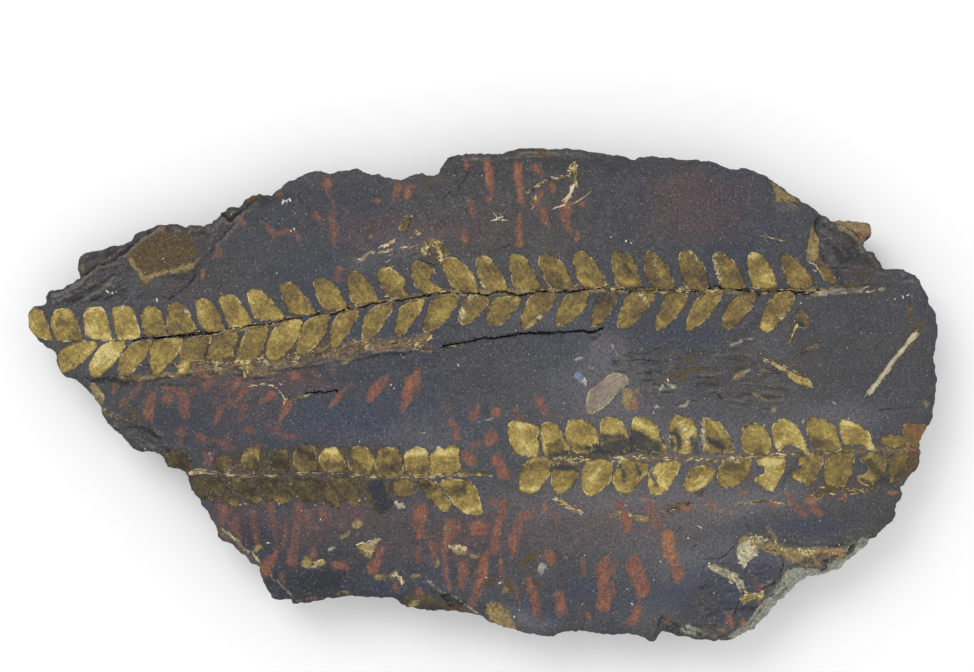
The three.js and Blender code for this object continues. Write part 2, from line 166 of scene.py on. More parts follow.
def ragged(points, size, reach, seed):
    # the points, each pushed sideways by up to about reach
    push = [roughNoise(points, size, seed + turn, 3) for turn in (0, 5)]
    return points + reach * np.stack(push, axis=1)


def smoothRing(ring, gap, bend=1.0):
    # a closed curve through the corners of a ring, with a point about every gap metres
    along = np.roll(ring, -1, 0) - np.roll(ring, 1, 0)
    along = along / np.hypot(*along.T)[:, None]
    curve = []
    for i, start in enumerate(ring):
        after = (i + 1) % len(ring)
        end = ring[after]
        length = math.hypot(*(end - start))
        count = max(round(length / gap), 1)
        s = (np.arange(count) / count)[:, None]
        curve.append(
            (2 * s**3 - 3 * s**2 + 1) * start
            + (s**3 - 2 * s**2 + s) * along[i] * length * bend
            + (3 * s**2 - 2 * s**3) * end
            + (s**3 - s**2) * along[after] * length * bend
        )
    return np.vstack(curve)


def bandRing(flat, startWidth, endWidth):
    # a band along a route, its width in steps at both ends
    line = spots(flat)
    ahead = np.vstack([line[1:], line[-1:]]) - np.vstack([line[:1], line[:-1]])
    aside = np.stack([-ahead[:, 1], ahead[:, 0]], axis=1) / np.hypot(*ahead.T)[:, None]
    half = np.linspace(startWidth, endWidth, len(line))[:, None] * step / 2
    return np.vstack([line + aside * half, (line - aside * half)[::-1]])


# Meshes.


def kindOf(made, kind):
    # only the vertices or only the edges of what an operator made
    return [item for item in made if isinstance(item, kind)]


def readPlaces(verts):
    return np.array([vert.co[:] for vert in verts])


def writePlaces(verts, places):
    for vert, place in zip(verts, places):
        vert.co = place


def layFlat(verts, flat):
    writePlaces(verts, np.column_stack([flat, np.zeros(len(flat))]))


def hangs(vert):
    # whether a vertex has no face left, or joins two parts of the sheet at one point
    ends = sum(edge.is_boundary for edge in vert.link_edges)
    return not vert.link_faces or (vert.is_boundary and ends != 2)


# How a grid is cut to a ring, in cells: how far past the ring a point may lie, how close two
# points on it may be, and how far apart the swings are that shift the grid's points.
sheetCut = {"past": 0.32, "closest": 0.08, "swings": 1.7}


def cutSheet(bm, ring, cell, jitter, seed):
    # a flat grid cut to a closed ring, with its border drawn out onto the ring
    low, high = ring.min(0) - cell, ring.max(0) + cell
    columns, rows = np.ceil((high - low) / cell).astype(int)
    middle = (low + high) / 2
    size = np.array([columns, rows]) * cell
    lay = Matrix.Translation((*middle, 0)) @ Matrix.Diagonal((*size / 2, 1, 1))
    made = bmesh.ops.create_grid(bm, x_segments=columns, y_segments=rows, size=1, matrix=lay)
    verts = made["verts"]
    flat = readPlaces(verts)[:, :2]
    flat = ragged(flat, cell * sheetCut["swings"], jitter * cell, seed)
    gap = ringGap(flat, ring)
    layFlat(verts, flat)
    outside = [vert for vert, away in zip(verts, gap) if away > sheetCut["past"] * cell]
    bmesh.ops.delete(bm, geom=outside, context="VERTS")
    verts = [vert for vert in verts if vert.is_valid]
    for again in range(3):
        # corners that hang on by one point only
        loose = [vert for vert in verts if hangs(vert)]
        if not loose:
            break
        bmesh.ops.delete(bm, geom=loose, context="VERTS")
        verts = [vert for vert in verts if vert.is_valid]
    border = [vert for vert in verts if vert.is_boundary]
    layFlat(border, onRing(readPlaces(border)[:, :2], ring))
    bmesh.ops.remove_doubles(bm, verts=border, dist=cell * sheetCut["closest"])
    return [vert for vert in verts if vert.is_valid]


def linked(name, data):
    # a new object in the scene
    made = bpy.data.objects.new(name, data)
    bpy.context.scene.collection.objects.link(made)
    return made


def meshOf(name, bm):
    mesh = bpy.data.meshes.new(name)
    bm.to_mesh(mesh)
    bm.free()
    return mesh


def finishPiece(name, bm, material, sharpAngle):
    piece = linked(name, meshOf(name, bm))
    piece.data.materials.append(material)
    piece.data.shade_smooth()
    piece.data.set_sharp_from_angle(angle=math.radians(sharpAngle))
    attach(piece, "root")
    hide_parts("fossil_slab")
    return piece


def setAttribute(piece, name, values):
    kind = "FLOAT_VECTOR" if values.ndim == 2 else "FLOAT"
    layer = piece.data.attributes.new(name, kind, "POINT")
    key = "vector" if values.ndim == 2 else "value"
    layer.data.foreach_set(key, values.astype(np.float32).ravel())


def placesOf(piece):
    places = np.zeros(len(piece.data.vertices) * 3, np.float32)
    piece.data.vertices.foreach_get("co", places)
    return places.reshape(-1, 3).astype(float)


def triangles(piece):
    return sum(len(face.vertices) - 2 for face in piece.data.polygons)


# The slab seen from above, counter-clockwise in steps.
slabOutline = spots([
    28, 328, 28, 314, 33, 308, 42, 307, 48, 301, 47, 298, 52, 291, 58, 289, 64, 286, 75, 280, 79, 277,
    77, 271, 75, 263, 76, 259, 80, 254, 90, 250, 100, 249, 108, 246, 120, 245, 127, 241, 132, 238, 138, 232,
    145, 229, 157, 224, 175, 225, 183, 227, 190, 226, 203, 226, 210, 222, 217, 219, 221, 215, 224, 210,
    229, 206, 237, 205, 245, 199, 251, 196, 261, 194, 270, 195, 276, 190, 289, 182, 300, 177, 310, 172,
    321, 171, 328, 173, 337, 172, 346, 171, 356, 169, 362, 172, 370, 175, 378, 175, 386, 177, 400, 180,
    405, 178, 409, 175, 420, 174, 429, 176, 436, 174, 441, 169, 446, 162, 450, 157, 459, 155, 466, 153,
    477, 153, 486, 155, 497, 154, 505, 153, 511, 150, 518, 149, 530, 148, 541, 148, 552, 149, 568, 148,
    580, 149, 590, 151, 611, 154, 635, 158, 641, 156, 650, 155, 670, 158, 680, 160, 693, 161, 711, 161,
    728, 167, 736, 169, 746, 168, 755, 170, 768, 177, 782, 188, 804, 203, 821, 213, 835, 220, 850, 221,
    865, 222, 874, 224, 873, 233, 867, 241, 866, 246, 870, 251, 877, 252, 878, 258, 886, 269, 896, 268,
    905, 268, 917, 276, 921, 280, 923, 288, 930, 303, 937, 313, 938, 337, 933, 360, 934, 370, 937, 379,
    935, 392, 935, 405, 933, 416, 926, 428, 921, 437, 919, 444, 921, 452, 918, 470, 908, 478, 905, 484,
    901, 489, 903, 496, 896, 505, 895, 513, 892, 522, 883, 531, 862, 549, 844, 567, 833, 572, 820, 574,
    807, 577, 797, 584, 786, 595, 776, 607, 758, 627, 748, 632, 727, 641, 700, 640, 689, 638, 677, 637,
    670, 633, 661, 633, 657, 638, 652, 642, 645, 639, 636, 635, 628, 633, 603, 635, 593, 633, 580, 631,
    565, 632, 557, 635, 546, 636, 527, 633, 504, 628, 494, 624, 485, 618, 464, 612, 454, 611, 435, 611,
    407, 609, 401, 605, 396, 600, 390, 597, 377, 598, 360, 597, 340, 597, 325, 599, 299, 605, 293, 604,
    288, 599, 283, 602, 274, 601, 269, 595, 263, 586, 259, 573, 260, 568, 252, 563, 239, 552, 219, 537,
    217, 528, 211, 520, 208, 512, 203, 506, 199, 498, 191, 489, 186, 473, 180, 470, 168, 467, 164, 462,
    161, 457, 157, 453, 147, 451, 139, 454, 131, 449, 114, 431, 105, 420, 98, 404, 82, 386, 73, 380,
    65, 377, 59, 372, 55, 353, 50, 348, 38, 339,
])

# Every leaflet as its own ring, with how bright it is from 0 to 1.
upperLeaflets = [
    # the row above the stalk, from the left
    (0.7, [28, 314, 31, 309, 37, 308, 43, 311, 52, 340, 43, 339, 36, 336, 30, 331]),
    (0.6, [51, 318, 56, 310, 64, 308, 72, 310, 76, 317, 82, 339, 76, 341, 66, 342, 58, 340, 53, 334]),
    (0.8, [84, 316, 87, 309, 94, 307, 101, 307, 105, 311, 112, 339, 104, 341, 93, 339, 86, 335]),
    (0.84, [112, 313, 115, 307, 128, 306, 133, 309, 140, 332, 139, 338, 122, 340, 117, 337]),
    (0.5, [141, 318, 143, 310, 149, 306, 156, 307, 161, 312, 166, 334, 155, 336, 145, 335]),
    (0.42, [168, 308, 171, 302, 176, 301, 181, 303, 190, 313, 196, 328, 194, 332, 180, 334, 168, 334]),
    (0.6, [195, 303, 198, 299, 204, 298, 210, 300, 220, 313, 224, 328, 217, 331, 207, 331, 200, 326]),
    (0.62, [218, 301, 221, 296, 228, 294, 235, 296, 244, 307, 252, 321, 248, 325, 238, 327, 229, 325]),
    (0.65, [247, 293, 250, 289, 257, 289, 264, 292, 275, 304, 284, 318, 262, 320, 254, 317]),
    (0.46, [279, 288, 282, 284, 289, 282, 295, 284, 306, 297, 316, 313, 307, 315, 297, 315, 288, 311]),
    (0.52, [313, 284, 316, 279, 323, 278, 330, 280, 341, 294, 347, 307, 329, 311, 322, 308]),
    (0.55, [346, 277, 349, 272, 355, 271, 362, 274, 373, 287, 378, 300, 368, 303, 358, 304, 351, 300]),
    (0.52, [377, 277, 379, 269, 385, 267, 392, 268, 407, 282, 404, 288, 409, 296, 402, 299, 392, 298,
        385, 294]),
    (0.55, [410, 268, 411, 263, 421, 261, 432, 267, 435, 271, 430, 280, 443, 290, 430, 293, 420, 291,
        414, 285]),
    (0.54, [441, 262, 445, 258, 451, 257, 458, 259, 471, 271, 478, 291, 468, 293, 458, 291, 451, 286]),
    (0.55, [476, 264, 477, 257, 482, 255, 489, 257, 499, 268, 507, 289, 498, 291, 488, 290, 481, 285]),
    (0.5, [509, 262, 510, 255, 515, 254, 522, 255, 532, 268, 540, 288, 520, 290, 513, 285]),
    (0.45, [538, 262, 540, 255, 546, 253, 553, 255, 565, 266, 573, 288, 562, 289, 552, 288, 545, 281]),
    (0.47, [573, 262, 574, 254, 579, 251, 585, 252, 597, 264, 607, 285, 598, 288, 588, 288, 580, 284]),
    (0.42, [611, 256, 613, 250, 620, 251, 633, 257, 638, 271, 641, 286, 632, 288, 622, 288, 615, 283]),
    (0.38, [643, 259, 645, 252, 651, 251, 657, 254, 668, 267, 674, 288, 663, 289, 653, 287, 647, 280]),
    (0.37, [678, 262, 680, 252, 685, 250, 691, 251, 702, 261, 710, 284, 707, 289, 695, 290, 685, 287]),
    (0.39, [712, 258, 714, 253, 720, 252, 733, 260, 741, 273, 746, 287, 737, 289, 725, 289, 719, 284]),
    (0.7, [747, 262, 749, 253, 755, 252, 761, 254, 772, 268, 777, 284, 772, 288, 762, 289, 753, 287]),
    (0.46, [780, 258, 783, 254, 789, 254, 795, 257, 806, 270, 814, 283, 795, 289, 788, 284]),
    (0.42, [812, 256, 817, 252, 823, 258, 829, 267, 837, 283, 831, 284, 825, 281]),
    # the row below the stalk
    (0.7, [57, 357, 62, 349, 69, 345, 78, 342, 97, 343, 88, 357, 73, 369, 65, 373, 60, 370]),
    (0.82, [90, 362, 99, 348, 106, 343, 116, 341, 126, 342, 119, 358, 99, 377, 92, 377, 89, 371]),
    (0.58, [120, 358, 131, 344, 140, 341, 152, 341, 147, 355, 136, 369, 129, 375, 121, 377, 118, 371]),
    (0.6, [150, 355, 154, 341, 178, 338, 184, 340, 176, 356, 164, 370, 156, 376, 151, 372]),
    (0.5, [181, 345, 186, 340, 210, 336, 207, 350, 203, 360, 193, 362, 187, 375, 179, 374, 178, 367]),
    (0.5, [209, 344, 213, 336, 232, 331, 238, 332, 234, 350, 229, 358, 214, 361, 207, 357]),
    (0.5, [239, 346, 247, 331, 256, 327, 267, 327, 266, 341, 261, 354, 252, 360, 241, 361, 237, 356]),
    (0.74, [267, 344, 275, 327, 284, 322, 301, 320, 297, 338, 287, 353, 275, 361, 267, 358]),
    (0.54, [296, 344, 302, 327, 309, 319, 329, 315, 326, 331, 316, 346, 303, 355, 297, 352]),
    (0.58, [330, 329, 337, 316, 344, 312, 359, 311, 353, 327, 337, 348, 331, 349]),
    (0.52, [365, 316, 376, 306, 394, 304, 387, 319, 377, 334, 370, 341, 363, 343, 361, 336]),
    (0.62, [400, 308, 412, 301, 424, 300, 418, 316, 402, 337, 397, 337, 394, 330]),
    (0.46, [424, 319, 431, 302, 436, 298, 459, 297, 452, 313, 440, 327, 434, 332, 426, 333, 422, 327]),
    (0.42, [460, 304, 470, 294, 489, 300, 483, 312, 470, 323, 461, 325, 458, 320]),
    (0.5, [486, 318, 491, 302, 496, 298, 521, 298, 513, 313, 501, 325, 493, 326, 487, 323]),
    (0.52, [521, 318, 527, 301, 533, 295, 556, 294, 549, 310, 536, 323, 527, 329, 521, 329]),
    (0.46, [561, 301, 567, 295, 588, 293, 585, 308, 573, 320, 559, 328, 554, 323]),
    (0.36, [596, 300, 601, 295, 618, 293, 611, 313, 602, 323, 596, 327, 591, 326]),
    (0.44, [625, 298, 630, 293, 655, 294, 648, 308, 631, 327, 624, 329, 617, 327, 617, 320]),
    (0.46, [657, 316, 664, 300, 665, 294, 687, 295, 678, 316, 665, 328, 658, 331, 655, 325]),
    (0.6, [688, 316, 695, 300, 710, 292, 722, 292, 711, 315, 698, 326, 690, 331, 686, 330]),
    (0.4, [722, 320, 729, 302, 742, 294, 757, 293, 752, 308, 741, 321, 734, 327, 726, 330, 721, 327]),
    (0.5, [761, 319, 767, 303, 779, 293, 794, 293, 791, 309, 780, 323, 773, 329, 766, 332, 760, 330]),
    (0.37, [799, 308, 808, 317, 810, 323, 807, 328, 800, 328, 796, 322]),
]
lowerLeftLeaflets = [
    (0.06, [165, 455, 170, 452, 186, 453, 190, 459, 192, 470, 180, 470, 170, 467]),
    (0.22, [214, 461, 216, 456, 222, 455, 229, 456, 232, 461, 232, 470, 218, 471]),
    (0.27, [241, 462, 243, 454, 247, 449, 260, 447, 258, 462, 260, 470, 246, 470]),
    (0.3, [270, 455, 273, 450, 281, 449, 288, 450, 290, 466, 288, 471, 272, 471]),
    (0.38, [293, 456, 296, 450, 307, 443, 313, 445, 316, 451, 318, 470, 305, 473, 295, 471]),
    (0.58, [319, 460, 321, 452, 332, 446, 338, 448, 346, 470, 334, 473, 323, 472]),
    (0.44, [348, 468, 348, 458, 351, 450, 357, 446, 369, 449, 374, 461, 370, 474, 358, 474]),
    (0.38, [375, 462, 377, 453, 381, 448, 396, 448, 401, 454, 403, 476, 388, 477, 376, 474]),
    (0.68, [404, 459, 406, 452, 417, 447, 426, 450, 429, 458, 427, 476, 414, 477, 407, 474]),
    (0.66, [430, 456, 440, 446, 445, 449, 450, 444, 457, 446, 460, 471, 438, 475, 430, 473]),
    (-0.04, [189, 478, 200, 477, 212, 488, 210, 495, 205, 500, 199, 497]),
    (0.04, [207, 478, 220, 479, 234, 496, 238, 504, 232, 507, 216, 493]),
    (0.26, [224, 478, 240, 478, 262, 496, 256, 504, 248, 500]),
    (0.14, [256, 480, 275, 478, 285, 484, 291, 494, 291, 503, 280, 504, 264, 492]),
    (0.08, [288, 479, 303, 480, 313, 489, 318, 498, 314, 503, 305, 501]),
    (0.08, [306, 479, 322, 480, 333, 489, 341, 508, 331, 505, 313, 488]),
    (0.12, [330, 479, 345, 478, 356, 484, 360, 494, 357, 507, 350, 505]),
    (0.16, [366, 480, 378, 479, 387, 485, 393, 503, 388, 511, 380, 514, 372, 506]),
    (0.34, [393, 484, 408, 479, 418, 489, 405, 498, 396, 496]),
    (0.4, [418, 479, 434, 481, 441, 488, 449, 500, 451, 508, 446, 512, 438, 508, 423, 492]),
    (0.6, [440, 482, 455, 479, 470, 481, 477, 491, 483, 512, 478, 516, 461, 511, 448, 497]),
]
lowerRightLeaflets = [
    # the row above the stalk, from the left
    (0.66, [508, 427, 510, 422, 516, 420, 531, 423, 540, 429, 537, 438, 539, 447, 538, 457, 532, 458,
        514, 451, 508, 436]),
    (0.68, [541, 426, 545, 422, 557, 425, 564, 438, 569, 453, 566, 458, 546, 457, 541, 441]),
    (0.7, [565, 434, 567, 425, 571, 419, 585, 420, 596, 430, 599, 444, 588, 454, 575, 452, 568, 447]),
    (0.72, [600, 434, 600, 424, 603, 418, 618, 418, 626, 429, 630, 446, 627, 453, 612, 453, 602, 450]),
    (0.62, [631, 427, 634, 418, 641, 416, 654, 423, 663, 436, 668, 451, 658, 453, 635, 448]),
    (0.74, [669, 430, 670, 421, 675, 416, 691, 419, 697, 432, 690, 452, 671, 450]),
    (0.56, [702, 425, 704, 418, 708, 418, 721, 424, 735, 451, 722, 453, 708, 453, 702, 447]),
    (0.66, [741, 438, 744, 424, 751, 422, 764, 427, 771, 440, 771, 448, 767, 453, 746, 453]),
    (0.76, [772, 433, 773, 425, 782, 418, 795, 424, 803, 437, 808, 452, 803, 451, 794, 446, 788, 446,
        778, 451]),
    (0.52, [806, 427, 808, 420, 812, 416, 831, 423, 838, 436, 841, 450, 818, 450, 808, 437]),
    (0.74, [839, 425, 840, 419, 853, 422, 867, 430, 874, 449, 868, 449, 860, 445, 845, 445, 841, 439]),
    (0.5, [879, 440, 884, 436, 893, 435, 902, 436, 906, 441, 906, 447, 888, 448]),
    (0.4, [902, 427, 908, 424, 918, 424, 927, 426, 920, 441, 920, 448, 912, 448, 903, 436]),
    # the row below it
    (0.68, [521, 470, 530, 459, 549, 460, 549, 476, 538, 490, 530, 494, 521, 492, 519, 486]),
    (0.48, [551, 475, 553, 468, 558, 463, 577, 463, 577, 481, 567, 491, 559, 493, 553, 490]),
    (0.7, [581, 474, 588, 461, 608, 460, 613, 463, 611, 480, 598, 493, 590, 496, 583, 490]),
    (0.58, [614, 474, 621, 460, 632, 460, 648, 465, 642, 481, 628, 494, 619, 492, 614, 488]),
    (0.8, [648, 475, 658, 463, 668, 461, 680, 462, 675, 478, 665, 492, 657, 495, 650, 493]),
    (0.74, [684, 484, 690, 470, 697, 466, 706, 465, 714, 470, 712, 480, 704, 487, 694, 492, 685, 490]),
    (0.56, [718, 470, 726, 459, 751, 460, 748, 476, 735, 486, 727, 488, 719, 484]),
    (0.72, [758, 459, 773, 456, 786, 457, 784, 472, 778, 483, 772, 491, 755, 482, 756, 477, 764, 474,
        764, 468, 757, 464]),
    (0.52, [800, 457, 813, 454, 823, 456, 822, 466, 814, 482, 808, 487, 803, 482, 793, 478, 791, 472,
        801, 467, 798, 462]),
    (0.6, [825, 460, 832, 454, 853, 454, 853, 471, 845, 485, 835, 487, 825, 484]),
    (0.38, [859, 457, 873, 452, 885, 454, 886, 468, 882, 476, 870, 484, 858, 482, 856, 476, 866, 474,
        869, 467, 862, 463]),
    (0.34, [888, 458, 895, 453, 905, 452, 908, 458, 902, 472, 892, 483, 889, 476]),
]


# Materials.


underLamps = 0.87  # how bright a white thing may be for its colour to look as it is written


def hue(red, green, blue):
    # a colour from 0 to 255 as it looks under the lamps, made linear for the shader (sRGB)
    look = np.array([red, green, blue]) / 255
    light = np.where(look <= 0.04045, look / 12.92, ((look + 0.055) / 1.055) ** 2.4)
    return (*(light * underLamps).tolist(), 1)


def node(tree, kind, settings=None, inputs=None):
    made = tree.nodes.new("ShaderNode" + kind)
    for key, value in (settings or {}).items():
        setattr(made, key, value)
    for key, value in (inputs or {}).items():
        if isinstance(value, bpy.types.NodeSocket):
            tree.links.new(value, made.inputs[key])
        else:
            made.inputs[key].default_value = value
    return made


def newMaterial(name):
    material = bpy.data.materials.new(name)
    material.use_nodes = True
    tree = material.node_tree
    shader = tree.nodes["Principled BSDF"]
    place = node(tree, "TexCoord").outputs["Object"]
    return material, tree, shader, place


def reading(tree, name, output="Fac"):
    # what is kept at the vertices under a name
    return node(tree, "Attribute", {"attribute_name": name}).outputs[output]


def sums(tree, operation, first, second, third=0.0):
    return node(tree, "Math", {"operation": operation}, {0: first, 1: second, 2: third}).outputs[0]


def plus(tree, first, second):
    return sums(tree, "ADD", first, second)


def times(tree, first, second):
    return sums(tree, "MULTIPLY", first, second)


def scaled(tree, value, factor, shift):
    return sums(tree, "MULTIPLY_ADD", value, factor, shift)


def swing(tree, noise, reach):
    # a noise from 0 to 1 made to swing about 0
    return scaled(tree, noise, reach, -reach / 2)


def mixed(tree, share, first, second, blend="MIX"):
    settings = {"data_type": "RGBA", "blend_type": blend}
    return node(tree, "Mix", settings, {0: share, 6: first, 7: second}).outputs[2]


def shaded(tree, color, light):
    return mixed(tree, 1.0, color, light, "MULTIPLY")


def grain(tree, place, scale, detail=3.0, roughness=0.6):
    inputs = {"Vector": place, "Scale": scale, "Detail": detail, "Roughness": roughness}
    return node(tree, "TexNoise", None, inputs).outputs["Fac"]


def stretched(tree, place, scale, turn=0.0):
    inputs = {"Vector": place, "Scale": scale, "Rotation": (0, 0, turn)}
    return node(tree, "Mapping", {"vector_type": "TEXTURE"}, inputs).outputs[0]


def ranged(tree, value, low, high, start=0.0, end=1.0):
    inputs = {"Value": value, "From Min": low, "From Max": high, "To Min": start, "To Max": end}
    settings = {"interpolation_type": "SMOOTHSTEP"}
    return node(tree, "MapRange", settings, inputs).outputs["Result"]


def ramp(tree, share, stops):
    made = node(tree, "ValToRGB", None, {"Fac": share})
    elements = made.color_ramp.elements
    while len(elements) < len(stops):
        elements.new(0.5)
    for element, (position, color) in zip(elements, stops):
        element.position = position
        element.color = hue(*color)
    return made.outputs["Color"]


def specks(tree, place, scale, radius, rarity):
    # small round grains, only some of the cells having one
    cells = node(tree, "TexVoronoi", None, {"Vector": place, "Scale": scale})
    picked = node(tree, "SeparateColor", None, {"Color": cells.outputs["Color"]}).outputs[0]
    size = ranged(tree, cells.outputs["Distance"], radius, radius * 0.5)
    return times(tree, size, sums(tree, "GREATER_THAN", picked, rarity))


def bumped(tree, layers):
    # bump from several heights, each with its strength and its depth in metres
    normal = None
    for height, strength, depth in layers:
        inputs = {"Height": height, "Strength": strength, "Distance": depth}
        if normal is not None:
            inputs["Normal"] = normal
        normal = node(tree, "Bump", None, inputs).outputs["Normal"]
    return normal


# Where upper laminae have split off: how far the broken surface lies below the top at the first
# point of its ring, in mm, its extra depth for each step to the right and down from there, and its ring.
breaks = [
    # the bed with the two lower leaves
    (0.9, (-0.0014, 0), [60, 378, 118, 377, 142, 380, 190, 374, 235, 368, 262, 373, 300, 366, 340, 362,
        372, 355, 400, 352, 430, 349, 455, 345, 480, 340, 500, 338, 523, 333, 560, 331, 590, 331, 603, 328,
        640, 345, 700, 352, 700, 680, 0, 680, 0, 378]),
    # the shelf behind the tip of the upper leaf, and lower ones beyond it
    (0, (0.004, -0.006), [60, 304, 100, 302, 140, 300, 170, 300, 180, 291, 192, 281, 197, 270, 205, 258,
        218, 243, 240, 218, 262, 197, 262, 160, 150, 170, 10, 260, 10, 303]),
    (2.6, (0, 0), [60, 292, 79, 280, 95, 268, 110, 262, 122, 255, 135, 243, 150, 232, 160, 226, 160, 190,
        40, 230]),
    (3.6, (0, 0), [222, 214, 230, 222, 240, 215, 250, 205, 258, 197, 250, 175, 215, 190]),
    # a chip in the top edge, and a patch further along it
    (0.5, (0.02, -0.006), [463, 166, 456, 180, 448, 192, 441, 203, 430, 190, 425, 174, 425, 140,
        464, 150]),
    (1.2, (0, 0), [768, 178, 774, 190, 783, 199, 795, 205, 803, 206, 813, 190, 775, 160]),
    # the broken wedge at the right end of the upper leaf
    (0.2, (0.007, -0.03), [836, 286, 824, 262, 816, 245, 813, 228, 822, 205, 860, 190, 960, 190, 960, 268,
        905, 280, 880, 290, 860, 292]),
    (3.4, (0, 0), [834, 215, 838, 222, 850, 231, 862, 240, 868, 250, 900, 250, 900, 200, 830, 200]),
    # shelves along the lower left edge
    (1.5, (0, 0), [90, 395, 103, 410, 115, 417, 128, 422, 140, 426, 152, 431, 160, 439, 166, 448, 172, 450,
        160, 485, 70, 440]),
    (1.2, (0, 0), [222, 530, 228, 541, 240, 549, 252, 556, 260, 566, 240, 590, 190, 520, 210, 519]),
    (1.6, (0, 0), [262, 568, 272, 578, 286, 590, 301, 602, 300, 625, 240, 625, 240, 572]),
    # a pit and two shelves in the lower edge
    (0.8, (0, 0), [400, 596, 410, 589, 422, 585, 434, 591, 446, 597, 460, 607, 474, 611, 480, 618,
        480, 640, 400, 640]),
    (1.7, (0, 0), [442, 596, 449, 595, 455, 600, 464, 604, 457, 608, 449, 605]),
    (0.8, (0, 0), [484, 606, 497, 603, 508, 612, 518, 622, 521, 645, 470, 625]),
    (1.2, (0, 0), [660, 618, 672, 622, 690, 628, 702, 634, 702, 660, 650, 660]),
    # the weathered slope at the lower right corner
    (0.15, (0.03, 0.04), [785, 570, 795, 565, 815, 562, 835, 556, 852, 547, 872, 538, 930, 540, 860, 640,
        750, 680, 735, 640, 748, 627, 757, 612, 770, 598, 780, 585]),
]

# Ground that has frayed into low terraces: how high they stand in mm, how long and how wide one is,
# which way they run in degrees, and the ring of the ground.
frayed = [
    (0.65, 11, 1.6, 0, [615, 362, 640, 352, 700, 348, 770, 352, 800, 370, 800, 405, 740, 410, 680, 404,
        640, 396, 620, 380]),
    (1.2, 7, 1.7, 24, [42, 310, 60, 304, 100, 302, 128, 292, 118, 274, 122, 255, 140, 240, 160, 226,
        150, 200, 60, 240, 30, 300]),
    (0.5, 8, 1.8, 35, [100, 303, 160, 300, 192, 281, 205, 258, 218, 243, 240, 218, 262, 197, 200, 190,
        130, 230, 110, 270]),
    (0.9, 9, 2.2, -42, [813, 228, 826, 262, 840, 262, 880, 262, 960, 250, 960, 200, 822, 205]),
    (0.5, 8, 1.5, -6, [830, 262, 840, 286, 860, 292, 905, 284, 925, 280, 905, 262, 870, 258]),
    (0.8, 9, 1.3, -34, [92, 398, 128, 420, 160, 437, 172, 450, 160, 490, 60, 440]),
    (0.5, 5, 1.2, 8, [140, 360, 190, 352, 260, 345, 330, 338, 400, 336, 440, 338, 430, 352, 370, 362,
        300, 374, 230, 388, 150, 390]),
    (0.6, 4, 1.6, 40, [700, 560, 735, 540, 790, 538, 870, 536, 840, 600, 740, 650, 690, 640]),
    (0.5, 6, 1.6, 0, [470, 166, 530, 158, 575, 161, 600, 150, 530, 130, 470, 140]),
]

# Cracks: how wide and how deep in mm, and the line on the top.
cracks = [
    (0.36, 1.3, [133, 340, 145, 338, 157, 337]),
    (0.9, 1.6, [155, 338, 172, 336, 190, 334, 211, 333]),
    (0.38, 1.2, [211, 334, 225, 329, 243, 326, 265, 325, 285, 320, 302, 318]),
    (0.34, 1.2, [309, 314, 330, 315, 347, 308, 360, 308, 375, 303, 400, 300, 427, 296]),
    (0.34, 1.2, [427, 296, 433, 293, 470, 293, 485, 296, 504, 291, 518, 296, 540, 291, 555, 293, 580, 290,
        610, 287]),
    (0.4, 1.3, [610, 288, 620, 290, 660, 290, 690, 292, 715, 288, 744, 290, 757, 293, 788, 290, 797, 294,
        820, 291]),
    (0.36, 1.0, [306, 394, 311, 393, 324, 392, 338, 390]),
    (0.48, 1.3, [444, 346, 465, 343, 483, 338, 498, 338, 523, 333, 545, 333, 570, 332, 585, 331]),
    (0.6, 1.3, [583, 332, 592, 332, 603, 328]),
    (0.22, 0.4, [410, 263, 423, 261, 436, 266]),
    (0.16, 0.25, [490, 253, 510, 245]),
    (0.2, 0.4, [170, 300, 180, 291, 192, 281]),
    (0.16, 0.3, [192, 281, 200, 268, 212, 250]),
    (0.16, 0.2, [880, 410, 900, 408, 915, 406]),
    (0.16, 0.25, [675, 533, 682, 527]),
    (0.14, 0.2, [742, 515, 750, 530]),
    (0.14, 0.2, [692, 552, 696, 545]),
    (0.16, 0.25, [671, 575, 676, 590]),
    (0.16, 0.25, [717, 562, 728, 553, 738, 542]),
    (0.14, 0.2, [782, 486, 790, 470, 798, 458]),
    (0.14, 0.2, [441, 200, 450, 192, 458, 178, 464, 164]),
    (0.14, 0.2, [296, 580, 315, 574, 344, 570]),
    (0.16, 0.3, [611, 361, 640, 360, 668, 362]),
    (0.18, 0.3, [710, 394, 716, 392, 722, 399]),
    (0.14, 0.2, [612, 344, 618, 338, 626, 337]),
    # around the pebbles in the lower right corner
    (0.16, 0.3, [757, 551, 766, 549, 776, 551, 782, 558, 783, 567, 780, 576, 774, 583]),
    (0.16, 0.25, [745, 568, 746, 578, 752, 586, 762, 589, 772, 585]),
    (0.18, 0.3, [785, 583, 787, 589, 783, 596, 777, 599]),
    (0.14, 0.25, [738, 575, 745, 584, 744, 594, 738, 604, 734, 616]),
]

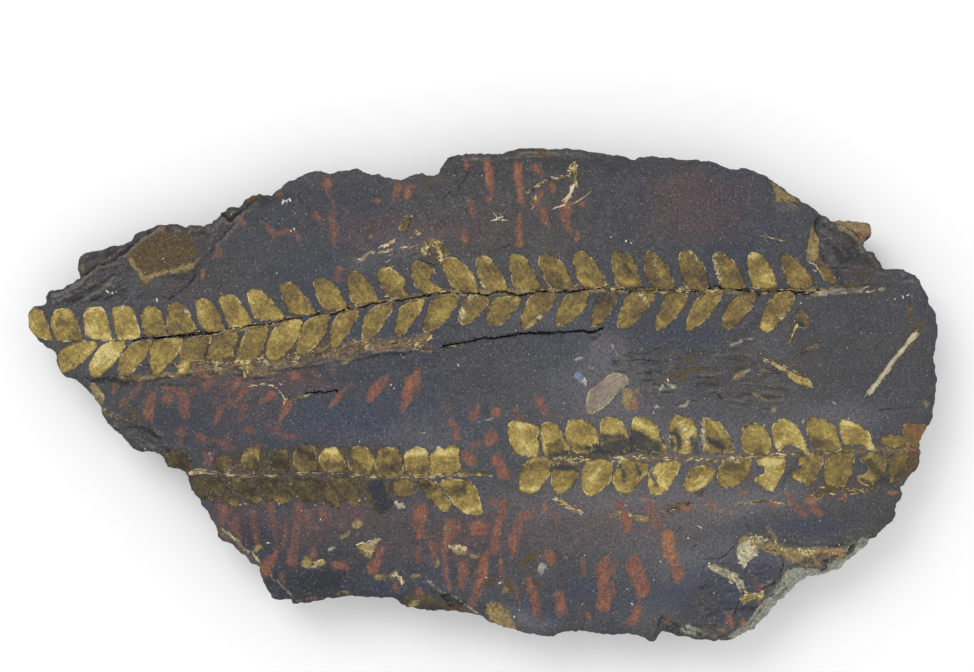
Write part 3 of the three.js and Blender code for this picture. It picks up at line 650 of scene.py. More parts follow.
slab = {
    "seed": 11,
    "thickness": 24 * mm,
    "cell": 0.96 * mm,
    "raggedEdge": (2.6 * mm, 0.42 * mm),  # how far apart the swings of the edge are, and how wide
    "nickedEdge": (0.9 * mm, 0.17 * mm),
    "breakSlope": 0.28 * mm,  # half the width of the slope at the edge of a broken lamina
    "frayedSlope": 1.5 * mm,
    "terraceSteps": 5.2,  # how many steps there are from the lowest frayed ground to the highest
    # the relief of the top: how high it stands and how far apart its swings are
    "swell": (0.3 * mm, 38 * mm),
    "ripple": (0.07 * mm, 4.5 * mm),
    "floor": (0.12 * mm, 3 * mm),
    "rim": (0.6 * mm, 2.2 * mm),
    "rimDrop": 0.9 * mm,
    "rimWidth": (0.8 * mm, 2.4 * mm),
}
flank = {
    "rows": 17,
    # height in mm, and how far the stone is drawn in there
    "profile": [
        (0, 6.2), (4.2, 5.0), (4.8, 3.0), (8.7, 2.6), (9.3, 1.4), (13.6, 1.2), (14.2, 0.1),
        (18.2, 0.1), (18.8, 1.2), (19.5, 1.2), (20.3, 0.1), (24, 0.3),
    ],
    "wander": (1.6 * mm, 26 * mm),  # how far the beds rise and fall on their way round
    "beds": (0.55 * mm, 11 * mm),
    "bedThinness": 12,
    "chips": (0.3 * mm, 2.2 * mm),
}
underside = {
    "relief": 0.7 * mm,
    "swings": 14 * mm,
    "flatRim": (8 * mm, 14 * mm),  # flat up to here, and at its full relief from there
    "longestEdges": [40 * mm, 20 * mm, 10 * mm, 6 * mm, 4.5 * mm],
}

slabEdge = smoothRing(slabOutline, 0.3 * mm, 0.4)
slabEdge = ragged(slabEdge, *slab["raggedEdge"], slab["seed"])
slabEdge = ragged(slabEdge, *slab["nickedEdge"], slab["seed"] + 50)
slabEdge = np.clip(slabEdge, [nodeLow.x, nodeLow.y], [nodeHigh.x, nodeHigh.y])


def relief(points, name, seed):
    high, size = slab[name]
    return high * roughNoise(points, size, slab["seed"] + seed, 3)


def tornPlaces(points):
    # the places shifted so that the edges of broken laminae come out ragged
    return ragged(points, 2.2 * mm, 0.4 * mm, slab["seed"] + 3)


def crackedPlaces(points):
    return ragged(points, 1.2 * mm, 0.25 * mm, slab["seed"] + 7)


def shareInside(points, ring, slope):
    # 1 inside a ring and 0 outside it, with a slope to either side of it
    return 1 - ease(ringGap(points, ring), -slope, slope)


def terraces(points, long, wide, degrees, seed):
    # low steps, longer than they are wide, from -0.5 to 0.5
    turn = math.radians(degrees)
    along = points @ [math.cos(turn), math.sin(turn)]
    aside = points @ [-math.sin(turn), math.cos(turn)]
    laid = np.column_stack([along / long, aside / wide]) / mm
    count = slab["terraceSteps"]
    above = (roughNoise(laid, 1.0, seed, 4) + 1) * count / 2
    return (np.floor(above) + ease(above - np.floor(above), 0.6, 0.95)) / count - 0.5


def frayedShare(points):
    # 1 on frayed ground, 0 off it
    return np.max([shareInside(points, spots(zone[-1]), slab["frayedSlope"]) for zone in frayed], axis=0)


def bedHeight(points, cracked=True):
    # the height of the stone's top, with its broken laminae, frayed ground and cracks
    seed = slab["seed"]
    height = slab["thickness"] + relief(points, "swell", 1) + relief(points / [1.6, 1], "ripple", 2)
    torn = tornPlaces(points)
    for depth, (moreRight, moreDown), flat in breaks:
        ring = spots(flat)
        right, down = ((points - ring[0]) / step * [1, -1]).T
        depths = np.maximum(depth + moreRight * right + moreDown * down, 0)
        floor = slab["thickness"] - depths * mm + relief(points, "floor", 4)
        height += shareInside(torn, ring, slab["breakSlope"]) * np.minimum(floor - height, 0)
    for number, (rise, long, wide, degrees, flat) in enumerate(frayed):
        share = shareInside(torn, spots(flat), slab["frayedSlope"])
        height += share * rise * mm * terraces(points, long, wide, degrees, seed + 40 + number)
    # the rim is worn round, more in some stretches than in others
    rim = -ringGap(points, slabOutline)
    least, most = slab["rimWidth"]
    worn = least + (most - least) * (latticeNoise(points, 14 * mm, seed + 5) + 1) / 2
    height -= slab["rimDrop"] * (1 - np.clip(rim / worn, 0, 1)) ** 2
    height += (1 - ease(rim, 0, most)) * relief(points, "rim", 6)
    if cracked:
        height -= crackCut(points)
    return height


def crackCut(points):
    # how deep the cracks are at each point, with a V across each
    cut = np.zeros(len(points))
    torn = crackedPlaces(points)
    for number, (width, depth, route) in enumerate(cracks):
        place = spots(route)
        near = np.all((torn > place.min(0) - 2 * mm) & (torn < place.max(0) + 2 * mm), axis=1)
        if near.any():
            vary = np.maximum(0.8 + 0.6 * latticeNoise(torn[near], 3.5 * mm, 60 + number), 0.3)
            gap = nearestOn(torn[near], place)[0] / (max(width * 0.7, 0.22) * mm * vary)
            cut[near] = np.maximum(cut[near], depth * mm * np.clip(1.3 - gap, 0, 1) ** 0.6)
    return cut


def fineEdges(bm, verts, places, reach, wide):
    # the edges between vertices that lie within reach of a crack or a broken lamina's edge, and in
    # the wide round also those near the rim or on frayed ground
    torn = tornPlaces(places)
    gap = shapeGap(places, [(1, route) for width, depth, route in cracks])
    for depth, slope, flat in breaks:
        gap = np.minimum(gap, np.abs(ringGap(torn, spots(flat))))
    if wide:
        gap = np.minimum(gap, np.abs(ringGap(places, slabEdge)))
        gap[frayedShare(places) > 0.1] = 0
    chosen = {vert for vert, away in zip(verts, gap) if away < reach}
    return [edge for edge in bm.edges if edge.verts[0] in chosen and edge.verts[1] in chosen]


def buildFlank(bm, home, level):
    # rows of quads from the top's border down to the resting face
    border = [edge for edge in bm.edges if edge.is_boundary]
    for vert in {vert for edge in border for vert in edge.verts}:
        vert[home] = (vert.co.x, vert.co.y, 0)
    lower = []
    for row in range(1, flank["rows"] + 1):
        made = bmesh.ops.extrude_edge_only(bm, edges=border)["geom"]
        fresh = kindOf(made, bmesh.types.BMVert)
        border = [edge for edge in kindOf(made, bmesh.types.BMEdge) if edge.is_boundary]
        for vert in fresh:
            vert[level] = row
        lower += fresh
    homes = np.array([vert[home][:] for vert in lower])[:, :2]
    share = np.array([vert[level] for vert in lower]) / flank["rows"]
    height = bedHeight(homes) * (1 - share)
    seed = slab["seed"] + 21
    heights, pulls = np.array(flank["profile"]).T * mm
    # beds that rise and fall on their way round, more deeply cut in some stretches than in others
    far, size = flank["wander"]
    wander = far * latticeNoise(homes, size, seed) * np.sin(np.pi * share)
    sway = 0.65 + 0.6 * latticeNoise(homes, 17 * mm, seed + 1)
    pull = np.interp(height + wander, heights, pulls) * sway
    far, size = flank["beds"]
    thin = np.column_stack([homes, height * flank["bedThinness"]])
    pull += far * roughNoise(thin, size, seed + 2, 3) * np.sin(np.pi * np.minimum(share * 3, 0.5))
    far, size = flank["chips"]
    chips = np.column_stack([homes, height * 1.5])
    pull += far * roughNoise(chips, size, seed + 3, 2) * np.minimum(share * 4, 1)
    inward = -homes / np.hypot(*homes.T)[:, None]
    moved = homes + inward * np.maximum(pull, 0)[:, None]
    writePlaces(lower, np.column_stack([moved, height]))
    return border


def isUnder(face, level):
    return all(vert[level] >= flank["rows"] for vert in face.verts)


def relaxUnder(bm, level):
    # the underside as well shaped triangles, and its faces
    faces = [face for face in bm.faces if isUnder(face, level)]
    faces = bmesh.ops.triangulate(bm, faces=faces)["faces"]
    edges = dict.fromkeys(edge for face in faces for edge in face.edges)
    inner = [edge for edge in edges if all(isUnder(face, level) for face in edge.link_faces)]
    bmesh.ops.beautify_fill(bm, faces=faces, edges=inner)
    return [face for face in bm.faces if isUnder(face, level)]


def buildUnderside(bm, border, level):
    # the resting face, flat at its rim and in patches, with shallow hollows between
    bmesh.ops.contextual_create(bm, geom=border)
    faces = relaxUnder(bm, level)
    for longest in underside["longestEdges"]:
        edges = dict.fromkeys(edge for face in faces for edge in face.edges)
        long = [edge for edge in edges if edge.calc_length() > longest]
        if long:
            bmesh.ops.subdivide_edges(bm, edges=long, cuts=1)
            faces = relaxUnder(bm, level)
    rim = {vert for edge in border for vert in edge.verts}
    inner = [vert for vert in dict.fromkeys(v for face in faces for v in face.verts) if vert not in rim]
    bmesh.ops.smooth_vert(bm, verts=inner, factor=0.5, use_axis_x=True, use_axis_y=True)
    places = readPlaces(inner)
    flat = places[:, :2]
    hollow = np.clip(roughNoise(flat, underside["swings"], slab["seed"] + 31, 4) + 0.15, 0, 1)
    hollow *= ease(-ringGap(flat, slabOutline), *underside["flatRim"])
    places[:, 2] = underside["relief"] * hollow
    writePlaces(inner, places)


bm = bmesh.new()
# for each vertex of the flank, its place on the top's border and its row, counted down from the top
home = bm.verts.layers.float_vector.new("home")
level = bm.verts.layers.float.new("level")
cutSheet(bm, slabEdge, slab["cell"], 0.3, slab["seed"])
for reach, wide in ((0.9 * mm, True), (0.4 * mm, False)):
    verts = list(bm.verts)
    near = fineEdges(bm, verts, readPlaces(verts)[:, :2], reach, wide)
    bmesh.ops.subdivide_edges(bm, edges=near, cuts=1, use_grid_fill=True)
rimVerts = [vert for vert in bm.verts if vert.is_boundary]
layFlat(rimVerts, onRing(readPlaces(rimVerts)[:, :2], slabEdge))
verts = list(bm.verts)
places = readPlaces(verts)
places[:, 2] = bedHeight(places[:, :2])
writePlaces(verts, places)
border = buildFlank(bm, home, level)
buildUnderside(bm, border, level)
bmesh.ops.triangulate(bm, faces=[face for face in bm.faces if len(face.verts) > 4])
# two faces at the rim that were folded onto each other
pairs = [vert for vert in bm.verts if len(vert.link_faces) == 2]
folded = [vert for vert in pairs if len({v for face in vert.link_faces for v in face.verts}) == 3]
bmesh.ops.delete(bm, geom=folded, context="VERTS")
bmesh.ops.recalc_face_normals(bm, faces=bm.faces)
print("slab modelled")

# Where the film of the lower right leaf has gone and the dark stone lies bare.
bareStone = [590, 450, 592, 443, 600, 441, 603, 437, 614, 439, 628, 436, 632, 431, 640, 430, 648, 436,
    658, 440, 663, 447, 660, 454, 640, 453, 615, 455, 600, 454]

# Stains on the stone, and among the dark ones painted shade. Each shape is a closed ring, or a width in
# steps and a route.
stainsAndShade = {}
stainsAndShade["red"] = [
    # short plant scraps above the upper leaf
    (7, [464, 158, 468, 171]), [483, 159, 490, 158, 494, 172, 493, 199, 490, 203, 487, 201, 489, 192],
    [514, 164, 522, 163, 524, 200, 521, 206, 518, 203, 518, 192, 513, 175],
    [519, 213, 522, 214, 522, 248, 516, 247, 518, 236, 515, 230],
    [531, 165, 541, 164, 544, 180, 540, 177, 534, 171], (7, [543, 190, 537, 199, 533, 208]),
    [538, 209, 546, 207, 550, 230, 545, 225, 540, 219], (7, [551, 182, 554, 193]),
    [561, 204, 566, 200, 573, 202, 568, 220, 573, 232, 570, 236, 561, 221], (8, [578, 201, 585, 205]),
    [579, 229, 581, 238, 578, 243, 572, 243, 575, 236], (6, [469, 198, 472, 209, 475, 219]),
    (7, [464, 230, 465, 246]), (9, [237, 215, 246, 226]),
    [276, 191, 282, 189, 284, 193, 280, 196, 276, 195], (6, [262, 220, 272, 231, 275, 243]),
    (5, [275, 233, 295, 232, 299, 241]), [321, 179, 332, 178, 331, 189, 327, 194, 322, 187],
    (3, [330, 192, 333, 203, 336, 215]), (9, [313, 213, 321, 219]), (7, [331, 216, 334, 229, 334, 243]),
    [397, 180, 401, 184, 400, 194, 395, 202, 390, 199], (7, [410, 185, 407, 199]),
    (8, [374, 199, 380, 203]), (7, [336, 268, 342, 271]), (7, [335, 278, 340, 280]),
    [217, 246, 223, 256, 213, 257],
    # between the upper leaf and the lower left one
    (5, [116, 381, 113, 393]), (7, [141, 384, 133, 393, 127, 399]), (6, [124, 398, 119, 406]),
    [151, 391, 155, 393, 153, 422, 145, 420, 141, 411], (6, [161, 387, 178, 391]),
    [161, 397, 166, 394, 174, 396, 173, 403, 163, 404], (5, [188, 391, 197, 391]),
    [177, 390, 188, 391, 189, 416, 184, 420, 179, 412], [174, 433, 178, 427, 187, 427, 184, 436, 176, 436],
    [184, 435, 181, 447, 176, 447, 178, 441], [193, 435, 200, 431, 205, 437, 208, 442, 203, 447],
    [206, 436, 222, 442, 239, 449, 228, 452, 212, 443], [202, 387, 208, 379, 216, 379, 207, 392, 203, 391],
    (3, [218, 388, 229, 382]), [244, 378, 240, 385, 230, 391, 226, 390, 237, 378],
    (5, [218, 396, 214, 405]), [218, 407, 225, 407, 222, 416, 216, 425, 211, 425],
    (6, [251, 383, 243, 391, 236, 401]), (5, [228, 397, 231, 404, 240, 407]),
    [242, 403, 248, 403, 244, 412, 241, 422, 236, 421], [271, 390, 278, 393, 270, 401, 265, 401, 255, 405],
    (4, [267, 423, 272, 428]), [282, 401, 287, 398, 294, 400, 276, 432, 271, 431, 278, 422],
    (10, [244, 429, 254, 434]), (7, [221, 437, 230, 438]), (5, [248, 443, 266, 447]),
    (4, [277, 434, 302, 437]), (5, [279, 441, 295, 438]),
    [200, 450, 216, 451, 210, 468, 202, 467, 204, 458], (12, [289, 374, 299, 377]),
    (8, [309, 371, 319, 376]), (7, [331, 368, 336, 374]),
    # in the middle
    [388, 373, 389, 379, 383, 391, 372, 401, 365, 401, 374, 381],
    [421, 366, 419, 394, 414, 392, 403, 414, 401, 410, 404, 381], (5, [345, 387, 336, 400, 329, 408]),
    (4, [446, 397, 447, 412]),
    [447, 418, 455, 420, 459, 425, 461, 438, 455, 442, 452, 436, 455, 428, 450, 425],
    [473, 409, 477, 404, 480, 410, 473, 423, 468, 418], [489, 408, 504, 406, 502, 412, 501, 418, 493, 416],
    (5, [512, 410, 519, 408]), [531, 399, 540, 397, 545, 402, 549, 413, 546, 416],
    [486, 429, 498, 433, 498, 440, 488, 449, 483, 445], (5, [471, 447, 479, 442]),
    [461, 452, 473, 452, 478, 460, 474, 466, 468, 466, 462, 461], (5, [516, 417, 525, 417]),
    [491, 455, 499, 452, 508, 466, 509, 476, 505, 479, 498, 477, 497, 469, 492, 463],
    # below the lower leaves
    [216, 502, 224, 500, 228, 512, 222, 528, 219, 524, 220, 512],
    [234, 515, 238, 518, 242, 549, 239, 551, 235, 540, 230, 535, 230, 524],
    [249, 509, 256, 508, 259, 546, 255, 546, 251, 530], [265, 504, 273, 503, 277, 526, 275, 549, 272, 530],
    (5, [284, 510, 286, 525, 283, 546]), [295, 504, 303, 503, 296, 567, 287, 565, 288, 550, 293, 535],
    (9, [307, 507, 308, 526]), [315, 507, 325, 504, 331, 515, 334, 527, 319, 518],
    (7, [311, 527, 321, 529]),
    [277, 549, 281, 552, 275, 560, 269, 578, 261, 576, 260, 566, 266, 558, 272, 556],
    (4, [281, 572, 284, 584]), [310, 549, 315, 544, 318, 557, 314, 560, 308, 556],
    [332, 563, 346, 561, 348, 571, 336, 571], (6, [341, 520, 341, 528]), (5, [354, 508, 357, 520]),
    [380, 544, 386, 547, 378, 573, 369, 574, 367, 565, 374, 559], (6, [396, 582, 397, 592]),
    (4, [308, 599, 319, 598]), [414, 505, 428, 505, 424, 539, 417, 539, 414, 530],
    (5, [417, 547, 418, 562]), (6, [427, 537, 434, 552]), (5, [436, 545, 430, 566]),
    (9, [416, 588, 422, 597]), [447, 519, 460, 518, 460, 530, 453, 537, 442, 561, 441, 545],
    [468, 524, 479, 521, 487, 524, 488, 537, 480, 534, 472, 535], (6, [488, 499, 498, 507]),
    [500, 499, 507, 499, 496, 557, 492, 552, 491, 540],
    [521, 512, 530, 509, 533, 516, 528, 521, 524, 520, 514, 557, 507, 541],
    (7, [443, 551, 446, 570, 451, 592]), [458, 559, 467, 558, 467, 575, 464, 591, 459, 590],
    [481, 553, 488, 551, 488, 570, 480, 598, 472, 607, 468, 603, 474, 588],
    (6, [500, 561, 502, 572, 503, 585]), (3, [512, 578, 516, 590, 519, 607]),
    [525, 579, 531, 577, 540, 606, 539, 619, 534, 615], [542, 551, 553, 549, 557, 558, 556, 565, 549, 565],
    [555, 593, 562, 591, 566, 600, 566, 614, 560, 617, 555, 610],
    [604, 557, 609, 554, 611, 566, 608, 584, 612, 592, 610, 609, 604, 612, 596, 609, 599, 592, 596, 570],
    (4, [582, 558, 583, 568, 586, 579]), (5, [618, 561, 611, 573]), (4, [612, 580, 614, 594]),
    [631, 556, 638, 554, 651, 591, 640, 601, 626, 567],
    [667, 556, 677, 556, 684, 574, 682, 581, 676, 585, 670, 575], (7, [603, 516, 613, 517]),
    [619, 508, 626, 509, 631, 518, 631, 531, 625, 532, 620, 522], (6, [614, 503, 623, 506]),
    [644, 505, 655, 502, 665, 529, 655, 529, 647, 520], (4, [644, 529, 647, 540]),
    [635, 605, 642, 605, 640, 616, 634, 625, 627, 627], (5, [553, 512, 559, 521]),
    (5, [584, 612, 592, 618]), [783, 491, 790, 491, 797, 505, 809, 516, 806, 520, 796, 514],
    (7, [767, 499, 778, 508]), [809, 504, 817, 504, 823, 514, 818, 517, 811, 511],
    (5, [740, 490, 750, 494]), (8, [681, 506, 692, 511]), (7, [708, 501, 717, 508]),
    (6, [725, 511, 732, 514]), (5, [840, 494, 847, 501]), (7, [756, 586, 764, 587]),
    (8, [727, 614, 733, 628]),
]

stainsAndShade["rust"] = [
    (4, [204, 268, 202, 279]), [662, 532, 668, 530, 676, 536, 674, 546, 677, 558, 670, 562, 663, 556],
    (4, [885, 493, 900, 493]), (8, [806, 500, 818, 500]), (4, [907, 306, 911, 311]),
    (5, [708, 509, 726, 512]), (5, [813, 566, 822, 566]), (6, [741, 621, 744, 627]),
    (5, [719, 629, 726, 632]), (5, [758, 601, 763, 606]),
    [855, 225, 872, 224, 873, 234, 865, 241, 857, 234], (5, [664, 619, 669, 625]),
    (6, [195, 371, 212, 377]), (4, [420, 352, 436, 349]), (4, [376, 349, 404, 344]),
    (4, [640, 501, 650, 499, 658, 504]), [906, 425, 926, 427, 920, 450, 908, 455, 900, 448, 907, 438],
    (4, [500, 557, 501, 566]), [631, 399, 635, 399, 638, 408, 634, 412, 630, 405],
    (4, [635, 388, 642, 399]), (4, [661, 511, 667, 513]), (7, [412, 376, 408, 392]),
    (4, [486, 162, 489, 192]), (4, [517, 168, 521, 202]), (5, [158, 227, 165, 228]),
    [818, 552, 832, 549, 845, 551, 842, 556, 822, 556], (4, [545, 499, 546, 507, 543, 513]),
]

stainsAndShade["ochre"] = [
    # yellow bits along the lower edge of the upper leaf
    (3, [118, 378, 140, 380, 165, 374, 178, 376]), (5, [179, 372, 184, 368]), (6, [214, 361, 219, 372]),
    (8, [240, 360, 250, 369]), (3, [250, 372, 262, 375, 274, 373]), (4, [276, 366, 284, 360]),
    (4, [290, 358, 300, 357]), (4, [318, 350, 336, 344]), (5, [412, 343, 428, 336]),
    [333, 357, 340, 360, 355, 359, 352, 362, 345, 364],
    # the olive patch's yellow streaks
    (4, [130, 258, 136, 268, 146, 282]), (4, [142, 278, 176, 270, 194, 263]),
    (2, [180, 272, 190, 268, 198, 258]),
    # the left edge
    [87, 384, 94, 383, 101, 392, 102, 402, 97, 405], (3, [100, 410, 113, 417]),
    # crumbs on the flat ground
    [622, 392, 628, 388, 635, 391, 634, 398, 629, 402, 628, 411, 624, 405], (5, [771, 413, 778, 407]),
    [352, 527, 356, 520, 362, 521, 361, 527, 356, 529], (4, [340, 538, 349, 533]),
    (3, [754, 393, 768, 400]), [732, 380, 736, 373, 742, 370, 748, 371, 738, 380],
    (2, [760, 374, 764, 369, 768, 371]),
    [300, 562, 303, 556, 309, 557, 311, 563, 326, 558, 325, 566, 304, 569],
    [357, 545, 380, 540, 371, 557, 364, 556, 360, 552], (8, [254, 551, 261, 547]),
    (5, [376, 577, 385, 577]), (4, [411, 577, 421, 575]), (8, [407, 607, 418, 602]),
    (5, [391, 576, 398, 572]), (9, [452, 547, 464, 551]), (4, [469, 555, 480, 557]),
    (3, [436, 568, 438, 557]), (2, [445, 545, 446, 530, 445, 516]), (5, [503, 591, 507, 589]),
    (4, [424, 256, 424, 248, 430, 241, 438, 242, 445, 250, 446, 257]), (6, [790, 553, 800, 553]),
    (3, [292, 400, 300, 397, 306, 394]), (4, [612, 516, 620, 512]), (4, [630, 515, 640, 519, 651, 516]),
    (4, [565, 505, 578, 513]), (3, [427, 244, 433, 241, 440, 243, 446, 249]), (3, [368, 238, 372, 233]),
    (3, [436, 176, 440, 178]), (3, [440, 147, 446, 148]), (3, [738, 504, 752, 503, 765, 501]),
    (3, [776, 506, 790, 503]), (3, [337, 595, 343, 592, 352, 596]), (3, [640, 517, 651, 515]),
    (4, [805, 292, 812, 290]), (3, [924, 401, 926, 405, 925, 410]), (3, [922, 404, 929, 405]),
    # the lower right corner
    [739, 544, 741, 537, 766, 538, 783, 552, 778, 557, 768, 551], (4, [767, 526, 772, 535, 779, 547]),
    [779, 547, 806, 549, 815, 547, 845, 549, 848, 556, 838, 560, 826, 559, 818, 566, 806, 568, 783, 556],
    [741, 601, 748, 593, 757, 591, 766, 594, 762, 599, 752, 599, 745, 604],
    [486, 606, 490, 603, 499, 604, 508, 612, 517, 629, 512, 632, 490, 621],
    [772, 180, 798, 201, 795, 205, 783, 200, 778, 203],
    [835, 219, 866, 221, 874, 225, 873, 233, 866, 240, 840, 228],
    # the stalk's line along the upper leaf's crack
    (4, [150, 337, 211, 334, 300, 318]), (4, [330, 314, 375, 303, 427, 296]),
    (5, [433, 294, 504, 292, 610, 289]), (5, [610, 289, 757, 292, 836, 290]),
]

stainsAndShade["olive"] = [
    (5, [538, 153, 546, 154]), (5, [230, 206, 246, 198, 258, 194]), (3, [680, 357, 691, 361]),
    (6, [60, 262, 76, 268, 88, 262]), (3, [426, 181, 432, 178, 440, 180]),
    (4, [340, 152, 352, 155, 364, 160]), (3, [126, 406, 134, 415, 141, 421]), (3, [130, 424, 134, 434]),
    [125, 255, 143, 236, 165, 230, 188, 234, 193, 242, 196, 262, 148, 281, 143, 287, 137, 283, 142, 275],
    (6, [832, 489, 874, 488]), [520, 562, 536, 551, 541, 553, 534, 561, 520, 568],
    (6, [816, 494, 830, 490]), (8, [160, 458, 185, 465]),
    [900, 455, 920, 452, 914, 472, 905, 480, 890, 486, 888, 478], (5, [190, 480, 205, 500]),
    (6, [428, 248, 440, 262]), [505, 577, 511, 577, 513, 590, 508, 597, 504, 590],
    (5, [668, 511, 678, 506, 688, 503]), (5, [838, 284, 846, 287, 854, 286]),
    (6, [462, 608, 471, 613, 478, 617]), (5, [484, 583, 494, 582]), (4, [538, 583, 542, 590]),
    (7, [408, 598, 436, 602, 466, 612]), (5, [466, 574, 474, 577]),
    [906, 325, 924, 322, 927, 328, 918, 331], (5, [909, 305, 910, 313]),
    (4, [683, 371, 700, 370, 716, 373]), (4, [664, 378, 690, 379]),
]

stainsAndShade["pale"] = [
    [738, 546, 745, 542, 756, 545, 760, 551, 744, 569, 737, 552],
    [706, 567, 716, 565, 738, 575, 745, 585, 745, 592, 738, 584], (2, [220, 528, 240, 545, 258, 560]),
    (2, [576, 358, 585, 362]), (2.4, [587, 364, 593, 370]), (3, [208, 353, 214, 352]),
    (5, [264, 364, 269, 365]), (4, [452, 548, 462, 547]), (3, [366, 545, 379, 541]),
    (5, [396, 504, 403, 507]), (3, [744, 371, 749, 370]), (3, [583, 380, 585, 385]),
    (4, [654, 403, 659, 407]), (3, [396, 573, 400, 580, 405, 588]), (2.4, [660, 394, 662, 387, 666, 383]),
    (5, [668, 385, 675, 388]), (2.4, [678, 407, 689, 402]), (2, [612, 343, 613, 349, 617, 355]),
    (2, [725, 340, 733, 344, 753, 338]), (3, [303, 558, 307, 561]), (3, [312, 567, 316, 564]),
    (3, [328, 550, 334, 547]), (1.6, [473, 425, 487, 419, 495, 418]), (2, [104, 291, 110, 294, 117, 292]),
    (2, [362, 552, 372, 550]), (1.2, [424, 578, 438, 590, 452, 596, 466, 604, 480, 615]),
]

stainsAndShade["matrix"] = [
    [858, 540, 866, 538, 873, 540, 843, 570, 808, 579, 752, 632, 735, 641, 728, 635, 744, 627, 768, 596,
        776, 590, 786, 570, 800, 568, 820, 571, 835, 569, 848, 562],
    [678, 628, 690, 624, 701, 631, 698, 637, 686, 635], [536, 567, 541, 562, 550, 569, 544, 571, 541, 577],
    (3.4, [812, 294, 830, 293, 862, 289]), (1.6, [268, 573, 286, 590, 302, 604]),
    [828, 563, 850, 557, 852, 563, 840, 570, 828, 571],
]

# Where the film has gone to a thin brown stain.
stainsAndShade["film"] = [
    [186, 474, 398, 479, 396, 492, 372, 504, 300, 501, 212, 503, 200, 496, 190, 484],
    [160, 452, 172, 449, 186, 451, 191, 471, 178, 470, 166, 464],
    [374, 446, 398, 447, 404, 458, 404, 476, 372, 476], (8, [548, 452, 590, 460]),
    (6, [556, 455, 604, 456]), (5, [688, 480, 700, 492]),
    [230, 455, 300, 446, 400, 447, 404, 476, 232, 474],
    [200, 342, 300, 321, 330, 318, 330, 352, 290, 360, 196, 366],
]

# A thin mat of torn tissue below the upper leaf.
stainsAndShade["husk"] = [
    [186, 366, 200, 357, 258, 358, 290, 355, 330, 345, 431, 333, 428, 342, 404, 349, 372, 351, 344, 360,
        312, 360, 282, 367, 262, 375, 236, 371, 214, 374, 196, 372], (4, [120, 379, 150, 380, 182, 375]),
    (4, [218, 530, 238, 550, 262, 570]),
    (6, [514, 452, 540, 459, 600, 458, 660, 458, 725, 459, 770, 454, 840, 452, 900, 449]),
    (4, [190, 473, 300, 475, 404, 477, 480, 475]),
]

stainsAndShade["azure"] = [
    [574, 372, 578, 370, 583, 374, 586, 382, 583, 384, 578, 380, 574, 376],
]

# some of these are painted shade: along two cracks, in the pit at column 440 and below the ridge at column
# 455; the rest are dark stone and the bare stone where the film has gone
stainsAndShade["dark"] = [
    (8, [806, 561, 812, 562]), (8, [819, 558, 826, 558]), (8, [228, 208, 246, 214]),
    (5, [665, 627, 679, 633]), (2, [710, 395, 716, 392, 722, 399]),
    (1.4, [785, 583, 786, 590, 781, 597, 773, 598]), bareStone, (5, [872, 481, 890, 480]),
    [440, 594, 449, 596, 453, 605, 446, 604], (5, [742, 608, 754, 609]), (5, [693, 440, 698, 452]),
    (3, [590, 340, 600, 336]), (3, [240, 200, 252, 208]), (3, [771, 594, 778, 598, 785, 591]),
    (5, [136, 429, 146, 431, 157, 437]),
    [836, 256, 843, 248, 854, 245, 864, 248, 860, 258, 846, 264, 838, 262],
    (4, [838, 272, 842, 284, 850, 289]), (3, [646, 372, 660, 372]), (3, [640, 379, 652, 379]),
    (3, [696, 383, 718, 385]), (3, [768, 386, 782, 390]), (3, [735, 372, 742, 367, 752, 366]),
    (3, [614, 363, 630, 364]), (3, [455, 196, 463, 180, 470, 166]),
    [300, 578, 330, 572, 345, 574, 340, 586, 318, 592, 300, 590],
]

# Wide soft tints: middle column, middle row, reach in steps across and down, and strength.
tints = {}
tints["warm"] = [
    (700, 200, 70, 45, 0.8), (520, 205, 75, 45, 0.35), (225, 415, 80, 32, 0.6), (270, 530, 75, 30, 0.8),
    (500, 520, 65, 40, 0.4), (640, 525, 50, 32, 0.8), (330, 210, 60, 35, 0.25), (235, 375, 60, 14, 0.8),
    (850, 490, 45, 12, 0.6), (905, 445, 22, 22, 0.8), (760, 520, 60, 20, 0.25), (603, 350, 14, 14, 0.2),
    (720, 440, 190, 18, 0.25), (700, 474, 190, 12, 0.25), (220, 520, 30, 24, 0.4), (470, 235, 40, 20, 0.5),
    (400, 552, 40, 18, 0.5), (360, 515, 60, 20, 0.7), (560, 530, 60, 30, 0.4), (598, 350, 22, 16, 0.5),
    (310, 382, 50, 14, 0.7), (345, 440, 40, 14, 0.7), (640, 504, 80, 12, 0.6), (460, 545, 44, 26, 0.7),
    (598, 412, 30, 16, 0.6), (240, 585, 60, 50, 0.25), (370, 225, 60, 24, 0.5), (480, 300, 110, 26, 0.3),
    (430, 365, 70, 20, 0.4), (655, 408, 60, 18, 0.4), (672, 456, 40, 14, 0.3), (700, 500, 170, 14, 0.4),
    (410, 240, 60, 24, 0.4), (400, 420, 40, 16, 0.3), (855, 262, 30, 26, 0.5), (185, 285, 30, 16, 0.5),
    (352, 266, 22, 16, 0.4), (268, 348, 70, 16, 0.5),
]
tints["blue"] = [
    (330, 425, 70, 35, 0.8), (762, 570, 22, 18, 0.8), (706, 560, 24, 14, 0.8), (640, 590, 80, 26, 0.5),
    (700, 330, 60, 14, 0.5), (412, 346, 40, 9, 1.0), (870, 380, 60, 45, 0.4), (430, 400, 90, 40, 0.35),
    (540, 616, 30, 16, 0.7), (100, 360, 30, 20, 0.3), (620, 320, 90, 20, 0.35), (350, 190, 40, 22, 0.5),
    (760, 225, 40, 30, 0.4), (180, 420, 50, 20, 0.7), (350, 586, 70, 12, 0.9), (724, 606, 26, 18, 0.7),
    (800, 530, 60, 12, 0.8), (740, 606, 20, 8, 0.9), (255, 538, 22, 12, 0.8), (470, 425, 16, 12, 0.6),
    (700, 575, 36, 26, 0.9), (560, 600, 80, 20, 0.4), (632, 446, 34, 9, 0.6),
]
